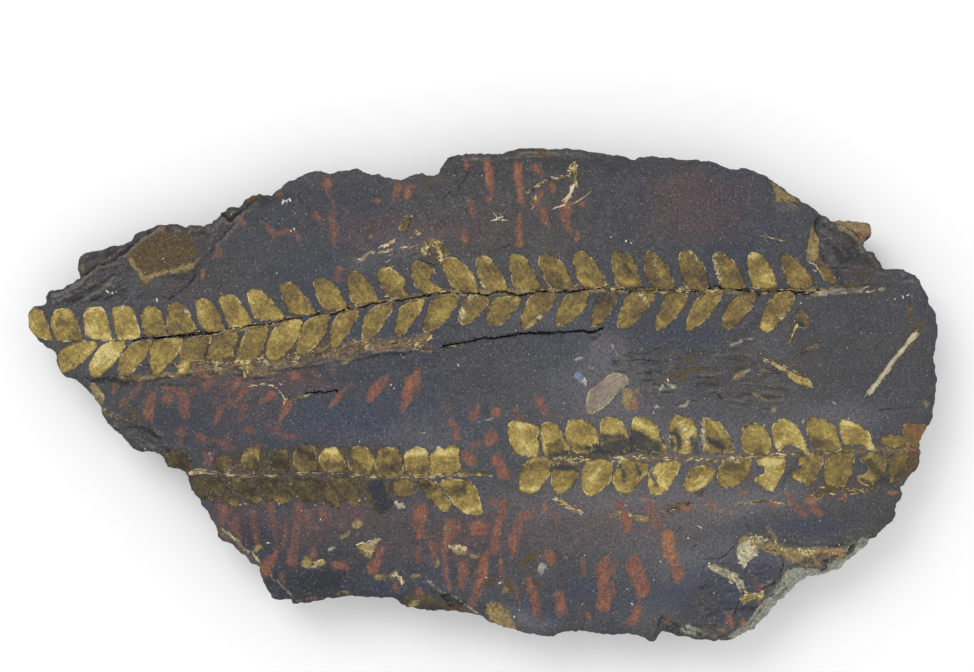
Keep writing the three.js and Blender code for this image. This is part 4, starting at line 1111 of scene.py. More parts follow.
tints["brown"] = [
    (704, 596, 22, 22, 0.6), (165, 240, 50, 34, 0.9), (862, 274, 34, 20, 1.0), (190, 215, 50, 18, 0.4),
    (130, 435, 40, 22, 0.5), (700, 380, 100, 24, 0.3), (880, 520, 30, 30, 0.4), (75, 275, 40, 24, 0.5),
    (540, 158, 60, 8, 0.6), (795, 200, 24, 14, 0.9), (840, 245, 24, 18, 0.8), (400, 175, 60, 12, 0.35),
    (410, 606, 40, 8, 0.8),
]
tints["light"] = [
    (600, 385, 60, 36, 0.5), (700, 440, 130, 40, 0.5), (480, 430, 330, 100, 0.16), (600, 350, 26, 20, 0.4),
    (352, 268, 24, 14, 0.4), (400, 258, 24, 12, 0.4), (880, 276, 16, 12, 0.3), (288, 594, 20, 8, 0.3),
    (620, 502, 170, 22, 0.5), (540, 322, 60, 16, 0.4), (840, 410, 60, 22, 0.45), (640, 545, 120, 26, 0.35),
    (790, 565, 26, 12, 0.5), (700, 560, 60, 24, 0.4), (420, 440, 60, 24, 0.3), (760, 500, 70, 20, 0.4),
    (420, 240, 50, 20, 0.3), (100, 335, 30, 26, 0.3), (528, 618, 34, 14, 0.7), (440, 588, 26, 10, 0.2),
    (652, 606, 34, 20, 0.4), (795, 200, 16, 10, 0.6),
]
tints["dim"] = [
    (160, 250, 60, 36, 0.55), (170, 420, 80, 26, 0.45), (310, 590, 60, 26, 0.6), (330, 560, 80, 22, 0.45),
    (480, 165, 90, 12, 0.55), (630, 164, 90, 12, 0.5), (240, 540, 24, 26, 0.6), (300, 196, 50, 20, 0.45),
    (848, 254, 22, 12, 0.9), (300, 588, 44, 14, 0.5), (60, 290, 40, 14, 0.6), (230, 455, 60, 16, 0.4),
    (404, 602, 50, 12, 0.7), (446, 600, 22, 12, 0.6), (256, 199, 14, 8, 0.9), (285, 538, 50, 16, 0.25),
]
# where the red scraps have faded
tints["fade"] = [
    (180, 400, 90, 40, 0.55), (225, 455, 60, 24, 0.7), (290, 530, 70, 34, 0.9), (300, 210, 60, 36, 0.5),
    (480, 430, 60, 24, 0.5), (440, 560, 40, 40, 0.3), (560, 515, 50, 14, 0.6), (470, 210, 20, 30, 0.4),
    (320, 372, 40, 8, 1.0), (650, 515, 30, 16, 0.5), (350, 515, 30, 14, 0.8), (250, 442, 50, 12, 0.8),
    (228, 522, 26, 34, 0.45), (672, 556, 16, 34, 0.4), (655, 518, 20, 24, 0.5), (640, 580, 24, 24, 0.25),
    (327, 186, 14, 14, 0.5),
]


def tintAt(points, blobs):
    total = np.zeros(len(points))
    for column, row, across, down, strength in blobs:
        away = (points - spots([column, row])) / step / [across, down]
        total += strength * np.exp(-(away**2).sum(1))
    return np.clip(total, 0, 1)


def hollowAt(piece, rounds):
    # how far each vertex stands above the ones around it, less than nothing in a hollow
    pairs = np.zeros(len(piece.data.edges) * 2, np.int32)
    piece.data.edges.foreach_get("vertices", pairs)
    first, second = pairs[0::2], pairs[1::2]
    height = placesOf(piece)[:, 2]
    count = np.bincount(pairs, minlength=len(height))
    around = height
    for turn in range(rounds):
        total = np.bincount(first, around[second], len(height))
        total += np.bincount(second, around[first], len(height))
        around = total / count
    return height - around


stoneLook = {
    # broad patches of the bare slate, from blue-grey to brown-grey
    "patches": [
        (0.32, (58, 65, 74)), (0.44, (68, 71, 78)), (0.54, (74, 74, 77)), (0.64, (76, 75, 74)),
        (0.72, (84, 85, 88)),
    ],
    # the beds that come out on the flank
    "beds": [(0.3, (58, 55, 56)), (0.5, (82, 78, 80)), (0.62, (104, 97, 90)), (0.75, (88, 78, 68))],
    "warm": (92, 74, 73),
    "blue": (60, 68, 88),
    "brown": (68, 61, 54),
    "light": (112, 111, 114),
    "dim": (48, 49, 54),
    "coolGrain": (58, 66, 84),
    "warmGrain": (104, 88, 80),
    "red": (142, 93, 72),
    "maroon": (100, 72, 66),
    "rust": (160, 110, 74),
    "ochre": (152, 132, 84),
    "olive": (90, 74, 44),
    "film": (85, 73, 56),
    "azure": (128, 138, 168),
    "pale": (186, 180, 152),
    "matrix": (154, 156, 142),
    "husk": (116, 99, 78),
    # dark serves dark stone and painted shade; the next three are painted shade in cracks and crevices and
    # a painted highlight on ridges
    "dark": (46, 48, 53),
    "crack": (22, 19, 18),
    "creviceShade": (36, 34, 33),
    "ridgeHighlight": (128, 121, 110),
    "speck": (182, 180, 178),
    "roughness": 0.78,
    "gloss": 0.3,
    # each stain and painted shade, how far its edge wanders, how soft it is and how strong
    "stainsAndShade": [
        ("husk", 5.0, 0.9, 0.85), ("film", 4.0, 0.7, 0.95), ("olive", 5.0, 0.8, 0.9),
        ("matrix", 2.4, 0.35, 0.95), ("red", 2.6, 0.65, 0.95), ("ochre", 3.0, 0.4, 0.95),
        ("rust", 3.0, 0.5, 0.8), ("dark", 3.4, 0.6, 0.85), ("azure", 1.0, 0.4, 0.95),
        ("pale", 2.4, 0.3, 0.9),
    ],
    # three sizes of specks: how close together they are, how big, how rare and how strong
    "specks": [(1700, 0.36, 0.86, 0.4), (900, 0.2, 0.9, 0.5), (420, 0.1, 0.9, 0.6)],
}


def stoneHue(name):
    return hue(*stoneLook[name])


def stoneGrains(tree, place):
    # the noises that the colours and the bumps of the stone share
    return {
        "fine": grain(tree, place, 1500, 4, 0.75),
        "crumbly": grain(tree, place, 700, 4, 0.7),
        "middle": grain(tree, place, 260, 5, 0.65),
        "lines": grain(tree, stretched(tree, place, (7, 1, 1), 0.05), 760, 5, 0.65),
        "beds": grain(tree, stretched(tree, place, (1, 1, 0.06)), 110, 5, 0.7),
    }


def slateColor(tree, place, noises):
    # the bare slate, with its wide tints and its grains
    color = ramp(tree, grain(tree, place, 20, 7, 0.62), stoneLook["patches"])
    color = shaded(tree, color, ranged(tree, noises["middle"], 0.3, 0.7, 0.84, 1.16))
    for name, strength in (("warm", 0.75), ("blue", 0.75), ("brown", 0.85)):
        uneven = times(tree, reading(tree, name + "Tint"), noises["middle"])
        color = mixed(tree, ranged(tree, uneven, 0.08, 0.5, 0, strength), color, stoneHue(name))
    for name in ("light", "dim"):
        share = ranged(tree, reading(tree, name + "Tint"), 0, 1, 0, 0.8)
        color = mixed(tree, share, color, stoneHue(name))
    for name, size, low, strength in (("coolGrain", 1050, 0.5, 0.4), ("warmGrain", 1250, 0.52, 0.34)):
        share = ranged(tree, grain(tree, place, size, 3, 0.6), low, 0.68, 0, strength)
        color = mixed(tree, share, color, stoneHue(name))
    # thin dark and light lines where the bedding comes out on frayed ground, painted as shade in the
    # grooves of the bump and as a highlight on its ridges
    for low, high, strength, name in ((0.44, 0.35, 0.75, "creviceShade"), (0.58, 0.68, 0.5, "ridgeHighlight")):
        share = times(tree, ranged(tree, noises["lines"], low, high, 0, strength),
            reading(tree, "frayedShare"))
        color = mixed(tree, share, color, stoneHue(name))
    return color


def stainedAndShadedColor(tree, place, noises, color):
    # each stain over the slate, painted shade among the dark ones, and how much of the stone no film has
    # stained
    crumbly, middle = noises["crumbly"], noises["middle"]
    worn = ranged(tree, plus(tree, crumbly, grain(tree, place, 90, 4, 0.6)), 0.84, 1.08, 0.68, 1.0)
    shade = ranged(tree, crumbly, 0.3, 0.7, 0.8, 1.2)
    for name, wander, soft, strength in stoneLook["stainsAndShade"]:
        fray = swing(tree, crumbly if wander < 4 else middle, wander)
        gap = plus(tree, reading(tree, name + "Gap"), fray)
        share = times(tree, ranged(tree, gap, soft, -soft, 0, strength), worn)
        tint = stoneHue(name)
        if name == "film":
            unfilmed = sums(tree, "SUBTRACT", 1, share)
        if name == "red":
            # the red scraps are fibrous, faded in places and partly maroon
            fibres = grain(tree, stretched(tree, place, (1, 5, 1), 0.1), 1100, 4, 0.65)
            faded = ranged(tree, reading(tree, "fadeTint"), 0, 1, 1, 0.45)
            share = times(tree, share, times(tree, faded, ranged(tree, fibres, 0.3, 0.5, 0.62, 1)))
            tint = mixed(tree, ranged(tree, middle, 0.44, 0.62, 0, 0.5), tint, stoneHue("maroon"))
        color = mixed(tree, share, color, shaded(tree, tint, shade))
    return color, unfilmed


def bedsAndPaintedShadeColor(tree, noises, color, unfilmed):
    # the flank's beds, painted shade in crevices, a painted highlight on crests, a painted shadow line and
    # painted shade in cracks
    color = mixed(tree, reading(tree, "below"), color, ramp(tree, noises["beds"], stoneLook["beds"]))
    # painted shade where a vertex lies lower than the ones around it, and a painted highlight on the crests
    # of frayed ground
    hollow = reading(tree, "hollow")
    color = mixed(tree, ranged(tree, hollow, -0.04, -0.28, 0, 0.75), color, stoneHue("creviceShade"))
    crestHighlight = times(tree, ranged(tree, hollow, 0.04, 0.24, 0.04, 0.5), reading(tree, "frayedShare"))
    color = mixed(tree, crestHighlight, color, stoneHue("ridgeHighlight"))
    # where the brown film stain ends, a thin dark line of painted shadow
    contact = plus(tree, reading(tree, "filmGap"), swing(tree, noises["fine"], 1.6))
    shadow = times(tree, ranged(tree, contact, 0.42, -0.1, 0, 0.55), unfilmed)
    color = mixed(tree, shadow, color, stoneHue("dark"))
    # painted shade, near black, in the cracks
    split = plus(tree, reading(tree, "crackShadeGap"), scaled(tree, noises["crumbly"], 1.6, -0.74))
    return mixed(tree, ranged(tree, split, 0.16, -0.06, 0, 0.92), color, stoneHue("crack"))


def makeStone():
    material, tree, shader, place = newMaterial("slate")
    noises = stoneGrains(tree, place)
    color = slateColor(tree, place, noises)
    color, unfilmed = stainedAndShadedColor(tree, place, noises, color)
    color = bedsAndPaintedShadeColor(tree, noises, color, unfilmed)
    color = shaded(tree, color, ranged(tree, noises["fine"], 0.32, 0.68, 0.66, 1.4))
    for scale, radius, rarity, strength in stoneLook["specks"]:
        dots = specks(tree, place, scale, radius, rarity)
        color = mixed(tree, times(tree, dots, strength), color, stoneHue("speck"))
    tree.links.new(color, shader.inputs["Base Color"])
    rough = scaled(tree, noises["middle"], 0.25, stoneLook["roughness"] - 0.12)
    tree.links.new(rough, shader.inputs["Roughness"])
    shader.inputs["Specular IOR Level"].default_value = stoneLook["gloss"]
    ribs = scaled(tree, reading(tree, "frayedShare"), 0.5, 0.3)
    bedRibs = times(tree, reading(tree, "below"), 0.5)
    crumbs = grain(tree, place, 1100, 5, 0.7)
    heights = [(noises["lines"], ribs, 0.4 * mm), (crumbs, 0.4, 0.2 * mm)]
    heights.append((noises["beds"], bedRibs, 0.6 * mm))
    tree.links.new(bumped(tree, heights), shader.inputs["Normal"])
    return material


# how much the routes of a stain taper
tapers = {"red": 0.6, "rust": 0.6, "ochre": 0.5, "pale": 0.4}

levels = np.array([vert[level] for vert in bm.verts])
homes = np.array([vert[home][:] for vert in bm.verts])[:, :2]
shaleSlab = finishPiece("shale_slab", bm, makeStone(), 50)
places = placesOf(shaleSlab)
flat = np.where(levels[:, None] > 0, homes, places[:, :2])
depthBelow = np.where(levels > 0, slab["thickness"] - places[:, 2], 0)
setAttribute(shaleSlab, "below", ease(depthBelow, 0.8 * mm, 2.4 * mm))
inside = ease(-ringGap(flat, slabEdge), 0.6 * mm, 1.6 * mm)
setAttribute(shaleSlab, "hollow", np.where(levels > 0, 0, inside * hollowAt(shaleSlab, 4) / mm))
setAttribute(shaleSlab, "frayedShare", frayedShare(ragged(flat, 6 * mm, 1.5 * mm, 67)))
warped = ragged(flat, 1.9 * mm, 0.42 * mm, 71)
for name, shapes in stainsAndShade.items():
    setAttribute(shaleSlab, name + "Gap", shapeGap(warped, shapes, tapers.get(name, 0)) / mm)
# where the painted shade of the cracks lies
crackShadeLines = [((width - 0.1) * 0.9 * mm / step, route) for width, depth, route in cracks]
setAttribute(shaleSlab, "crackShadeGap", shapeGap(crackedPlaces(flat), crackShadeLines) / mm)
drifted = ragged(flat, 12 * mm, 3 * mm, 83)
for name, blobs in tints.items():
    setAttribute(shaleSlab, name + "Tint", tintAt(drifted, blobs))
print("slab painted,", triangles(shaleSlab), "triangles")

# The leaves: thin films of plant tissue on the stone, one piece for each leaf.
film = {
    "cell": 0.36 * mm,
    "rootDepth": 0.7 * mm,
    # distance in from the edge in mm, and how high the film stands there
    "edgeProfile": [(0, 0.1), (0.2, 0.24), (0.5, 0.3), (1.2, 0.3), (2.4, 0.34)],
    "ripple": (0.07 * mm, 1.9 * mm),
    "tornEdge": (0.8 * mm, 0.12 * mm),  # how far apart the swings of its edge are, and how wide
    "veinGap": 0.55 * mm,
    "veinLength": 5 * mm,
    "roughness": 0.68,
    "gloss": 0.16,
    "colors": [(0.0, (58, 51, 42)), (0.2, (86, 75, 59)), (0.4, (112, 95, 64)), (0.55, (136, 115, 68)),
        (0.7, (159, 137, 78)), (0.85, (185, 163, 92)), (1.0, (216, 200, 138))],
    "green": (128, 122, 62),
    "shade": (48, 54, 65),
    "cream": (222, 210, 168),
    "rust": (140, 96, 66),
    "pit": (66, 56, 40),
    # other tints that a scrap may have
    "pink": (212, 194, 168),
    "rose": (158, 124, 100),
    "grey": (150, 139, 130),
    "bone": (184, 177, 154),
}

# Marks on the leaves: dark ones where the film has gone, gold and cream ones where it is fresh.
filmMarks = {}
filmMarks["shade"] = [
    bareStone, (6, [671, 434, 676, 432, 680, 446]), (7, [692, 440, 700, 452]), (7, [706, 438, 722, 447]),
    (5, [626, 444, 640, 444]), (4, [619, 464, 625, 480]), (5, [636, 468, 640, 474]),
    (4, [582, 448, 594, 448]), (6, [560, 467, 575, 468]), (5, [552, 456, 566, 452]),
    (4, [730, 448, 738, 450]), (5, [650, 470, 656, 484]), (3, [278, 300, 281, 302]),
    (15, [377, 487, 383, 504]), (8, [663, 436, 672, 446]), (4, [746, 426, 750, 424]),
    (6, [640, 436, 660, 446]), (6, [604, 437, 622, 438]), (3, [432, 272, 438, 282]),
    (4, [800, 324, 802, 327]), (4, [862, 478, 868, 482]),
]
filmMarks["brown"] = [
    [546, 445, 552, 440, 562, 440, 569, 452, 562, 458, 550, 457], (8, [572, 447, 590, 450]),
    (9, [62, 322, 64, 324]), (8, [528, 466, 544, 464]), (9, [785, 468, 800, 472]),
    (9, [686, 474, 700, 470]), (10, [812, 440, 830, 446]), (5, [245, 467, 258, 468]),
    (5, [328, 463, 346, 467]), (8, [350, 460, 362, 470]), (7, [378, 468, 396, 470]),
    (6, [408, 470, 426, 471]), (7, [296, 452, 312, 456]), (8, [270, 462, 286, 466]),
    (8, [448, 492, 462, 490]), (7, [425, 486, 432, 490]), (8, [726, 468, 740, 466]),
    (6, [384, 452, 400, 466]), (6, [622, 262, 630, 276]), (6, [250, 456, 256, 468]),
    (8, [868, 462, 880, 476]),
]
filmMarks["gold"] = [
    (6, [380, 450, 381, 451]), (8, [390, 457, 391, 458]), (3, [378, 449, 396, 449]),
    (8, [246, 456, 256, 452]), (5, [438, 507, 450, 508]), (6, [466, 511, 482, 506]),
    (4, [230, 503, 236, 504]), (5, [250, 499, 258, 502]), (5, [276, 499, 288, 499]),
    (3, [262, 495, 272, 500]), (4, [338, 504, 341, 506]), (4, [348, 503, 356, 504]),
    (7, [178, 371, 186, 366]), (7, [721, 488, 723, 490]), (8, [796, 478, 798, 479]),
    (10, [860, 478, 869, 477]), (8, [763, 326, 768, 329]), (4, [300, 287, 302, 302]),
    (6, [583, 281, 590, 284]), (6, [660, 268, 662, 274]), (7, [520, 426, 532, 427]),
    (5, [652, 480, 664, 486]), (6, [778, 446, 784, 440]), (5, [844, 422, 860, 425]),
    (4, [868, 434, 872, 446]), (5, [592, 478, 600, 470]), (6, [324, 450, 334, 452]),
    (5, [766, 462, 780, 462]), (6, [408, 454, 424, 452]), (6, [440, 452, 456, 452]),
    (4, [616, 278, 634, 284]), (5, [548, 322, 530, 326]), (5, [522, 488, 536, 490]),
    (4, [556, 490, 566, 489]), (6, [612, 486, 628, 492]), (4, [705, 484, 698, 490]),
    (4, [712, 420, 722, 434]), (5, [634, 422, 652, 430]),
]
filmMarks["cream"] = [
    (4, [461, 311, 463, 316]), (3, [470, 297, 476, 295]), (2, [459, 322, 463, 325]),
    (2, [678, 258, 681, 252]), (2, [715, 262, 719, 280]), (2, [713, 258, 715, 254]),
    (2, [484, 257, 492, 260]), (2, [388, 318, 391, 312]), (2, [360, 328, 362, 336]),
    (3, [780, 317, 783, 316]), (2, [748, 255, 758, 254]), (2, [640, 294, 646, 300]),
    (2, [559, 326, 561, 328]), (2, [573, 326, 576, 324]), (2, [655, 262, 657, 266]),
    (2, [692, 252, 697, 258]), (2, [560, 458, 572, 462]), (2, [731, 459, 738, 461]),
    (2, [480, 284, 486, 290]), (3, [540, 318, 544, 322]), (2, [762, 304, 765, 300]),
    (2, [606, 282, 608, 286]), (2, [186, 311, 188, 314]), (2.4, [702, 421, 702, 434, 706, 446]),
    (3, [681, 423, 688, 436, 685, 447]),
]
filmMarks["rust"] = [
    [903, 426, 910, 423, 926, 425, 922, 438, 914, 440, 906, 434], (4, [690, 418, 700, 424]),
]


def filmHue(name):
    return hue(*film[name])


def markShares(tree, noises, rim, fresh):
    # how far each kind of mark covers the film
    shares = {}
    fray = swing(tree, noises["middle"], 3.6)
    for name in filmMarks:
        shares[name] = ranged(tree, plus(tree, reading(tree, name + "Gap"), fray), 0.8, -0.8)
    # cream also lies along the rim, and only shows as broken grains
    stretches = ranged(tree, noises["stretches"], 0.46, 0.56, 0, 0.7)
    line = times(tree, times(tree, ranged(tree, rim, 0.22, 0.06), stretches), fresh)
    cream = sums(tree, "MAXIMUM", shares["cream"], line)
    shares["cream"] = times(tree, cream, ranged(tree, noises["fine"], 0.42, 0.56))
    shares["shade"] = times(tree, shares["shade"], ranged(tree, noises["fine"], 0.36, 0.52, 0.66, 1))
    return shares


def tissueColor(tree, tone, broad):
    # the film's own colour, greener in places; scraps of another tint keep its light and dark
    color = ramp(tree, tone, film["colors"])
    green = times(tree, reading(tree, "green"), ranged(tree, broad, 0.35, 0.65, 0.2, 1))
    color = mixed(tree, times(tree, green, 0.3), color, filmHue("green"))
    lit = shaded(tree, reading(tree, "cast", "Color"), ranged(tree, tone, 0.2, 1.1, 0.6, 1.25))
    return mixed(tree, reading(tree, "castShare"), color, lit)


def makeLeafFilm():
    material, tree, shader, place = newMaterial("leaf_film")
    noises = {
        "broad": grain(tree, place, 190, 4, 0.6),
        "middle": grain(tree, place, 620, 4, 0.65),
        "fine": grain(tree, place, 1500, 4, 0.75),
        "veins": grain(tree, reading(tree, "veins", "Vector"), 1.0, 3, 0.6),
        "stretches": grain(tree, place, 330, 2, 0.5),
    }
    fine = noises["fine"]
    tone = reading(tree, "tone")
    fresh = ranged(tree, tone, 0.1, 0.5, 0.3, 1)
    for name, reach in (("broad", 0.8), ("middle", 0.7), ("fine", 1.0), ("veins", 0.45)):
        tone = plus(tree, tone, swing(tree, noises[name], reach))
    # the rim is darker, and lighter in some stretches where it carries a painted highlight
    rim = reading(tree, "rim")
    edge = ranged(tree, plus(tree, rim, swing(tree, fine, 1.0)), 0.55, 0.1, 0, 1)
    bright = times(tree, ranged(tree, noises["stretches"], 0.5, 0.62), fresh)
    tone = plus(tree, tone, times(tree, edge, scaled(tree, bright, 0.5, -0.26)))
    shares = markShares(tree, noises, rim, fresh)
    tone = scaled(tree, shares["gold"], 0.3, tone)
    tone = scaled(tree, shares["brown"], -0.3, tone)
    color = tissueColor(tree, tone, noises["broad"])
    grainShade = ranged(tree, fine, 0.3, 0.7, 0.72, 1.3)
    for name, strength in (("rust", 0.5), ("shade", 0.92), ("cream", 0.8)):
        tint = shaded(tree, filmHue(name), grainShade)
        color = mixed(tree, times(tree, shares[name], strength), color, tint)
    # cream grains, most of them along the rim, and dark pits
    near = times(tree, ranged(tree, rim, 0.9, 0.1, 0.3, 1), scaled(tree, bright, 0.8, 0.2))
    for scale, radius, rarity in ((1500, 0.42, 0.72), (800, 0.24, 0.8)):
        dots = times(tree, specks(tree, place, scale, radius, rarity), near)
        color = mixed(tree, times(tree, dots, 0.85), color, filmHue("cream"))
    pits = specks(tree, place, 1150, 0.34, 0.72)
    color = mixed(tree, times(tree, pits, 0.5), color, filmHue("pit"))
    tree.links.new(color, shader.inputs["Base Color"])
    rough = scaled(tree, noises["middle"], 0.3, film["roughness"] - 0.15)
    tree.links.new(rough, shader.inputs["Roughness"])
    shader.inputs["Specular IOR Level"].default_value = film["gloss"]
    heights = [(noises["veins"], 0.3, 0.15 * mm), (noises["middle"], 0.4, 0.25 * mm)]
    heights.append((fine, 0.4, 0.14 * mm))
    tree.links.new(bumped(tree, heights), shader.inputs["Normal"])
    return material


leafFilm = makeLeafFilm()


def patchOf(ring, tone, rise=1.0, green=0.3, cell=film["cell"], raggedEdge=film["tornEdge"][1],
        cast=None, castShare=0.0):
    # one bit of film: its edge, its brightness, its height against the usual one, and another tint
    castColor = filmHue(cast)[:3] if cast else (0, 0, 0)
    return {"ring": ring, "tone": tone, "rise": rise, "green": green, "cell": cell,
        "ragged": raggedEdge, "cast": castColor, "castShare": castShare if cast else 0.0}


def leaflet(tone, flat, green, raggedEdge):
    return patchOf(smoothRing(spots(flat), 0.3 * mm, 0.75), tone, 1.0, green, raggedEdge=raggedEdge)


def strand(flat, startWidth, endWidth, tone, rise=1.0, green=0.1, cast=None, castShare=0.0):
    # a thin band, such as a stalk
    cell = min(film["cell"], min(startWidth, endWidth) * step / 2.6)
    ring = smoothRing(bandRing(flat, startWidth, endWidth), cell, 0.6)
    return patchOf(ring, tone, rise, green, max(cell, 0.18 * mm), 0.16 * mm, cast, castShare)


def shards(chance, flat, reach, count, lengths, widths, tones, rise=1.0, turn=0.15, cast=None,
        share=(0, 0)):
    # broken slivers strewn along a line, each lying nearly along it; sizes are in steps
    line = spots(flat)
    legs = np.hypot(*np.diff(line, axis=0).T)
    ends = np.concatenate([[0], np.cumsum(legs)])
    made = []
    for at in chance.uniform(0, ends[-1], count):
        leg = min(np.searchsorted(ends, at, side="right") - 1, len(legs) - 1)
        heading = (line[leg + 1] - line[leg]) / legs[leg]
        aside = np.array([-heading[1], heading[0]])
        middle = line[leg] + heading * (at - ends[leg]) + aside * chance.normal(0, reach * step / 2)
        angle = math.atan2(heading[1], heading[0]) + chance.normal(0, turn)
        ahead = np.array([math.cos(angle), math.sin(angle)])
        across = np.array([-ahead[1], ahead[0]])
        long = chance.uniform(*lengths) * step / 2
        wide = chance.uniform(*widths) * step / 2
        around = np.linspace(0, math.tau, 9)[:-1] + chance.uniform(-0.25, 0.25, 8)
        size = chance.uniform(0.7, 1.15, 8)
        ring = middle + np.outer(np.cos(around) * size * long, ahead)
        ring += np.outer(np.sin(around) * size * wide, across)
        made.append(patchOf(ring, chance.uniform(*tones), rise, 0.15, 0, 0, cast, chance.uniform(*share)))
    return made


shardBorder = 0.9 * mm  # no shard's middle lies nearer to the slab's edge


def strew(rows, seed):
    # slivers along many lines
    chance = np.random.default_rng(seed)
    made = [shard for row in rows for shard in shards(chance, *row)]
    gaps = ringGap(np.array([shard["ring"].mean(0) for shard in made]), slabOutline)
    return [shard for shard, gap in zip(made, gaps) if gap < -shardBorder]


def fanSheet(bm, ring):
    # a small flat patch with one vertex inside its ring
    made = bmesh.ops.create_circle(bm, cap_ends=True, cap_tris=True, segments=len(ring), radius=1)["verts"]
    rim = [vert for vert in made if vert.is_boundary]
    middle = [vert for vert in made if not vert.is_boundary]
    layFlat(rim, ring)
    layFlat(middle, ring.mean(0)[None])
    return made


def closeSheets(bm, under):
    # every sheet gets a side wall and a closed underside
    border = [edge for edge in bm.edges if edge.is_boundary]
    made = bmesh.ops.extrude_edge_only(bm, edges=border)["geom"]
    for vert in kindOf(made, bmesh.types.BMVert):
        vert[under] = 1
        vert.co.z = -film["rootDepth"]
    lowest = [edge for edge in kindOf(made, bmesh.types.BMEdge) if edge.is_boundary]
    bmesh.ops.holes_fill(bm, edges=lowest, sides=0)
    bmesh.ops.triangulate(bm, faces=[face for face in bm.faces if len(face.verts) > 4])
    bmesh.ops.recalc_face_normals(bm, faces=bm.faces)


def veinPlaces(flat, ring, number):
    # where each point lies across the veins and along them; they run along the patch's longest way
    middle = ring.mean(0)
    along = np.linalg.svd(ring - middle, full_matrices=False)[2][0]
    aside = np.array([-along[1], along[0]])
    across = (flat - middle) @ aside / film["veinGap"]
    ahead = (flat - middle) @ along / film["veinLength"]
    return np.column_stack([across, ahead, np.full(len(flat), number * 3.7)])


def buildFilms(name, patches, seed, material):
    bm = bmesh.new()
    number = bm.verts.layers.int.new("patch")
    under = bm.verts.layers.int.new("under")
    rings = []
    for index, patch in enumerate(patches):
        ring = ragged(patch["ring"], film["tornEdge"][0], patch["ragged"], seed + index)
        rings.append(ring)
        if patch["cell"]:
            sheet = cutSheet(bm, ring, patch["cell"], 0.25, seed + index)
        else:
            sheet = fanSheet(bm, ring)
        for vert in sheet:
            vert[number] = index
    closeSheets(bm, under)
    owners = np.array([vert[number] for vert in bm.verts])
    hidden = np.array([vert[under] for vert in bm.verts])
    places = readPlaces(bm.verts)
    flat = places[:, :2]
    rim = np.zeros(len(flat))
    veins = np.zeros((len(flat), 3))
    for index, ring in enumerate(rings):
        own = owners == index
        rim[own] = np.maximum(-ringGap(flat[own], ring), 0) / mm
        veins[own] = veinPlaces(flat[own], ring, index)
    rise = np.array([patch["rise"] for patch in patches])[owners]
    distances, heights = np.array(film["edgeProfile"]).T
    bed = bedHeight(flat, False)
    top = bed + np.interp(rim, distances, heights) * rise * mm
    high, size = film["ripple"]
    top += high * roughNoise(flat, size, seed + 400, 3) * np.minimum(rim * 1.5, 1)
    places[:, 2] = np.where(hidden, bed - film["rootDepth"], top)
    writePlaces(bm.verts, places)
    piece = finishPiece(name, bm, material, 55)
    setAttribute(piece, "rim", rim)
    setAttribute(piece, "veins", veins)
    for key in ("green", "castShare", "cast"):
        setAttribute(piece, key, np.array([patch[key] for patch in patches])[owners])
    tones = np.array([patch["tone"] for patch in patches])[owners]
    tones += 0.16 * latticeNoise(flat + owners[:, None] * mm, 4.5 * mm, seed + 9)
    setAttribute(piece, "tone", tones)
    warped = ragged(flat, 1.6 * mm, 0.25 * mm, 91)
    for key, shapes in filmMarks.items():
        setAttribute(piece, key + "Gap", shapeGap(warped, shapes) / mm)
    print(name, "modelled,", triangles(piece), "triangles")
    return piece


# Each row: a line, how far to either side the slivers lie, how many, their lengths, widths and
# tones, how high they stand, how far they turn from the line, and another tint with its share.
upperPatches = [leaflet(tone, flat, 0.15, 0.11 * mm) for tone, flat in upperLeaflets] + strew([
    # what is left of the stalk along the crack
    ([62, 341, 112, 340, 150, 335], 1.5, 22, (4, 16), (1, 2.4), (0.25, 0.6), 0.8),
    ([150, 335, 211, 331, 265, 322, 305, 316], 3, 40, (3, 10), (0.8, 2), (0.3, 0.7), 0.9),
    ([309, 311, 375, 301, 427, 293], 3, 26, (3, 10), (0.8, 1.8), (0.3, 0.7), 0.9),
    ([430, 291, 504, 289, 610, 288], 3.5, 56, (3, 12), (0.8, 2.2), (0.15, 0.65), 0.9),
    ([610, 288, 690, 291, 760, 291, 806, 289], 4, 76, (4, 18), (1, 2.6), (0.1, 0.55), 0.9, 0.12),
    # torn tissue below the leaf, down to the step
    ([118, 379, 150, 379, 182, 373], 2, 18, (4, 14), (1, 2.2), (0.35, 0.7), 0.7, 0.3),
    ([190, 366, 236, 362, 300, 356, 372, 345], 9, 90, (3, 11), (0.8, 2.4), (0.2, 0.65), 0.5, 0.45, "rose",
        (0, 0.5)),
    ([190, 369, 236, 366, 300, 358, 430, 338], 7, 60, (6, 20), (0.7, 1.4), (0.05, 0.5), 0.6, 0.1, "rose",
        (0, 0.5)),
    ([372, 345, 400, 347, 430, 340], 8, 44, (2, 6), (0.8, 2.2), (0.35, 0.8), 0.6, 0.6, "rose", (0.4, 1.0)),
    ([410, 346, 422, 341, 431, 335], 5, 20, (2, 6), (0.8, 2.2), (0.6, 1.0), 0.8, 0.5, "pink", (0, 0.5)),
    ([200, 366, 260, 360, 340, 350], 5, 26, (2, 6), (0.8, 2), (0.55, 0.9), 0.7, 0.6, "pink", (0, 0.4)),
    ([400, 352, 436, 350, 470, 343], 2.5, 16, (5, 18), (0.8, 1.8), (0.2, 0.5), 0.6),
    ([181, 362, 188, 372], 5, 8, (6, 12), (1.2, 2.4), (0.6, 0.95), 1.6, 0.4),
    ([214, 358, 219, 371], 4, 12, (4, 9), (1.2, 2.6), (0.5, 1.0), 1.0, 0.6, "pink", (0.2, 0.7)),
    ([238, 360, 252, 368], 7, 18, (4, 10), (1.2, 2.6), (0.5, 0.9), 1.0, 0.6),
], 61)

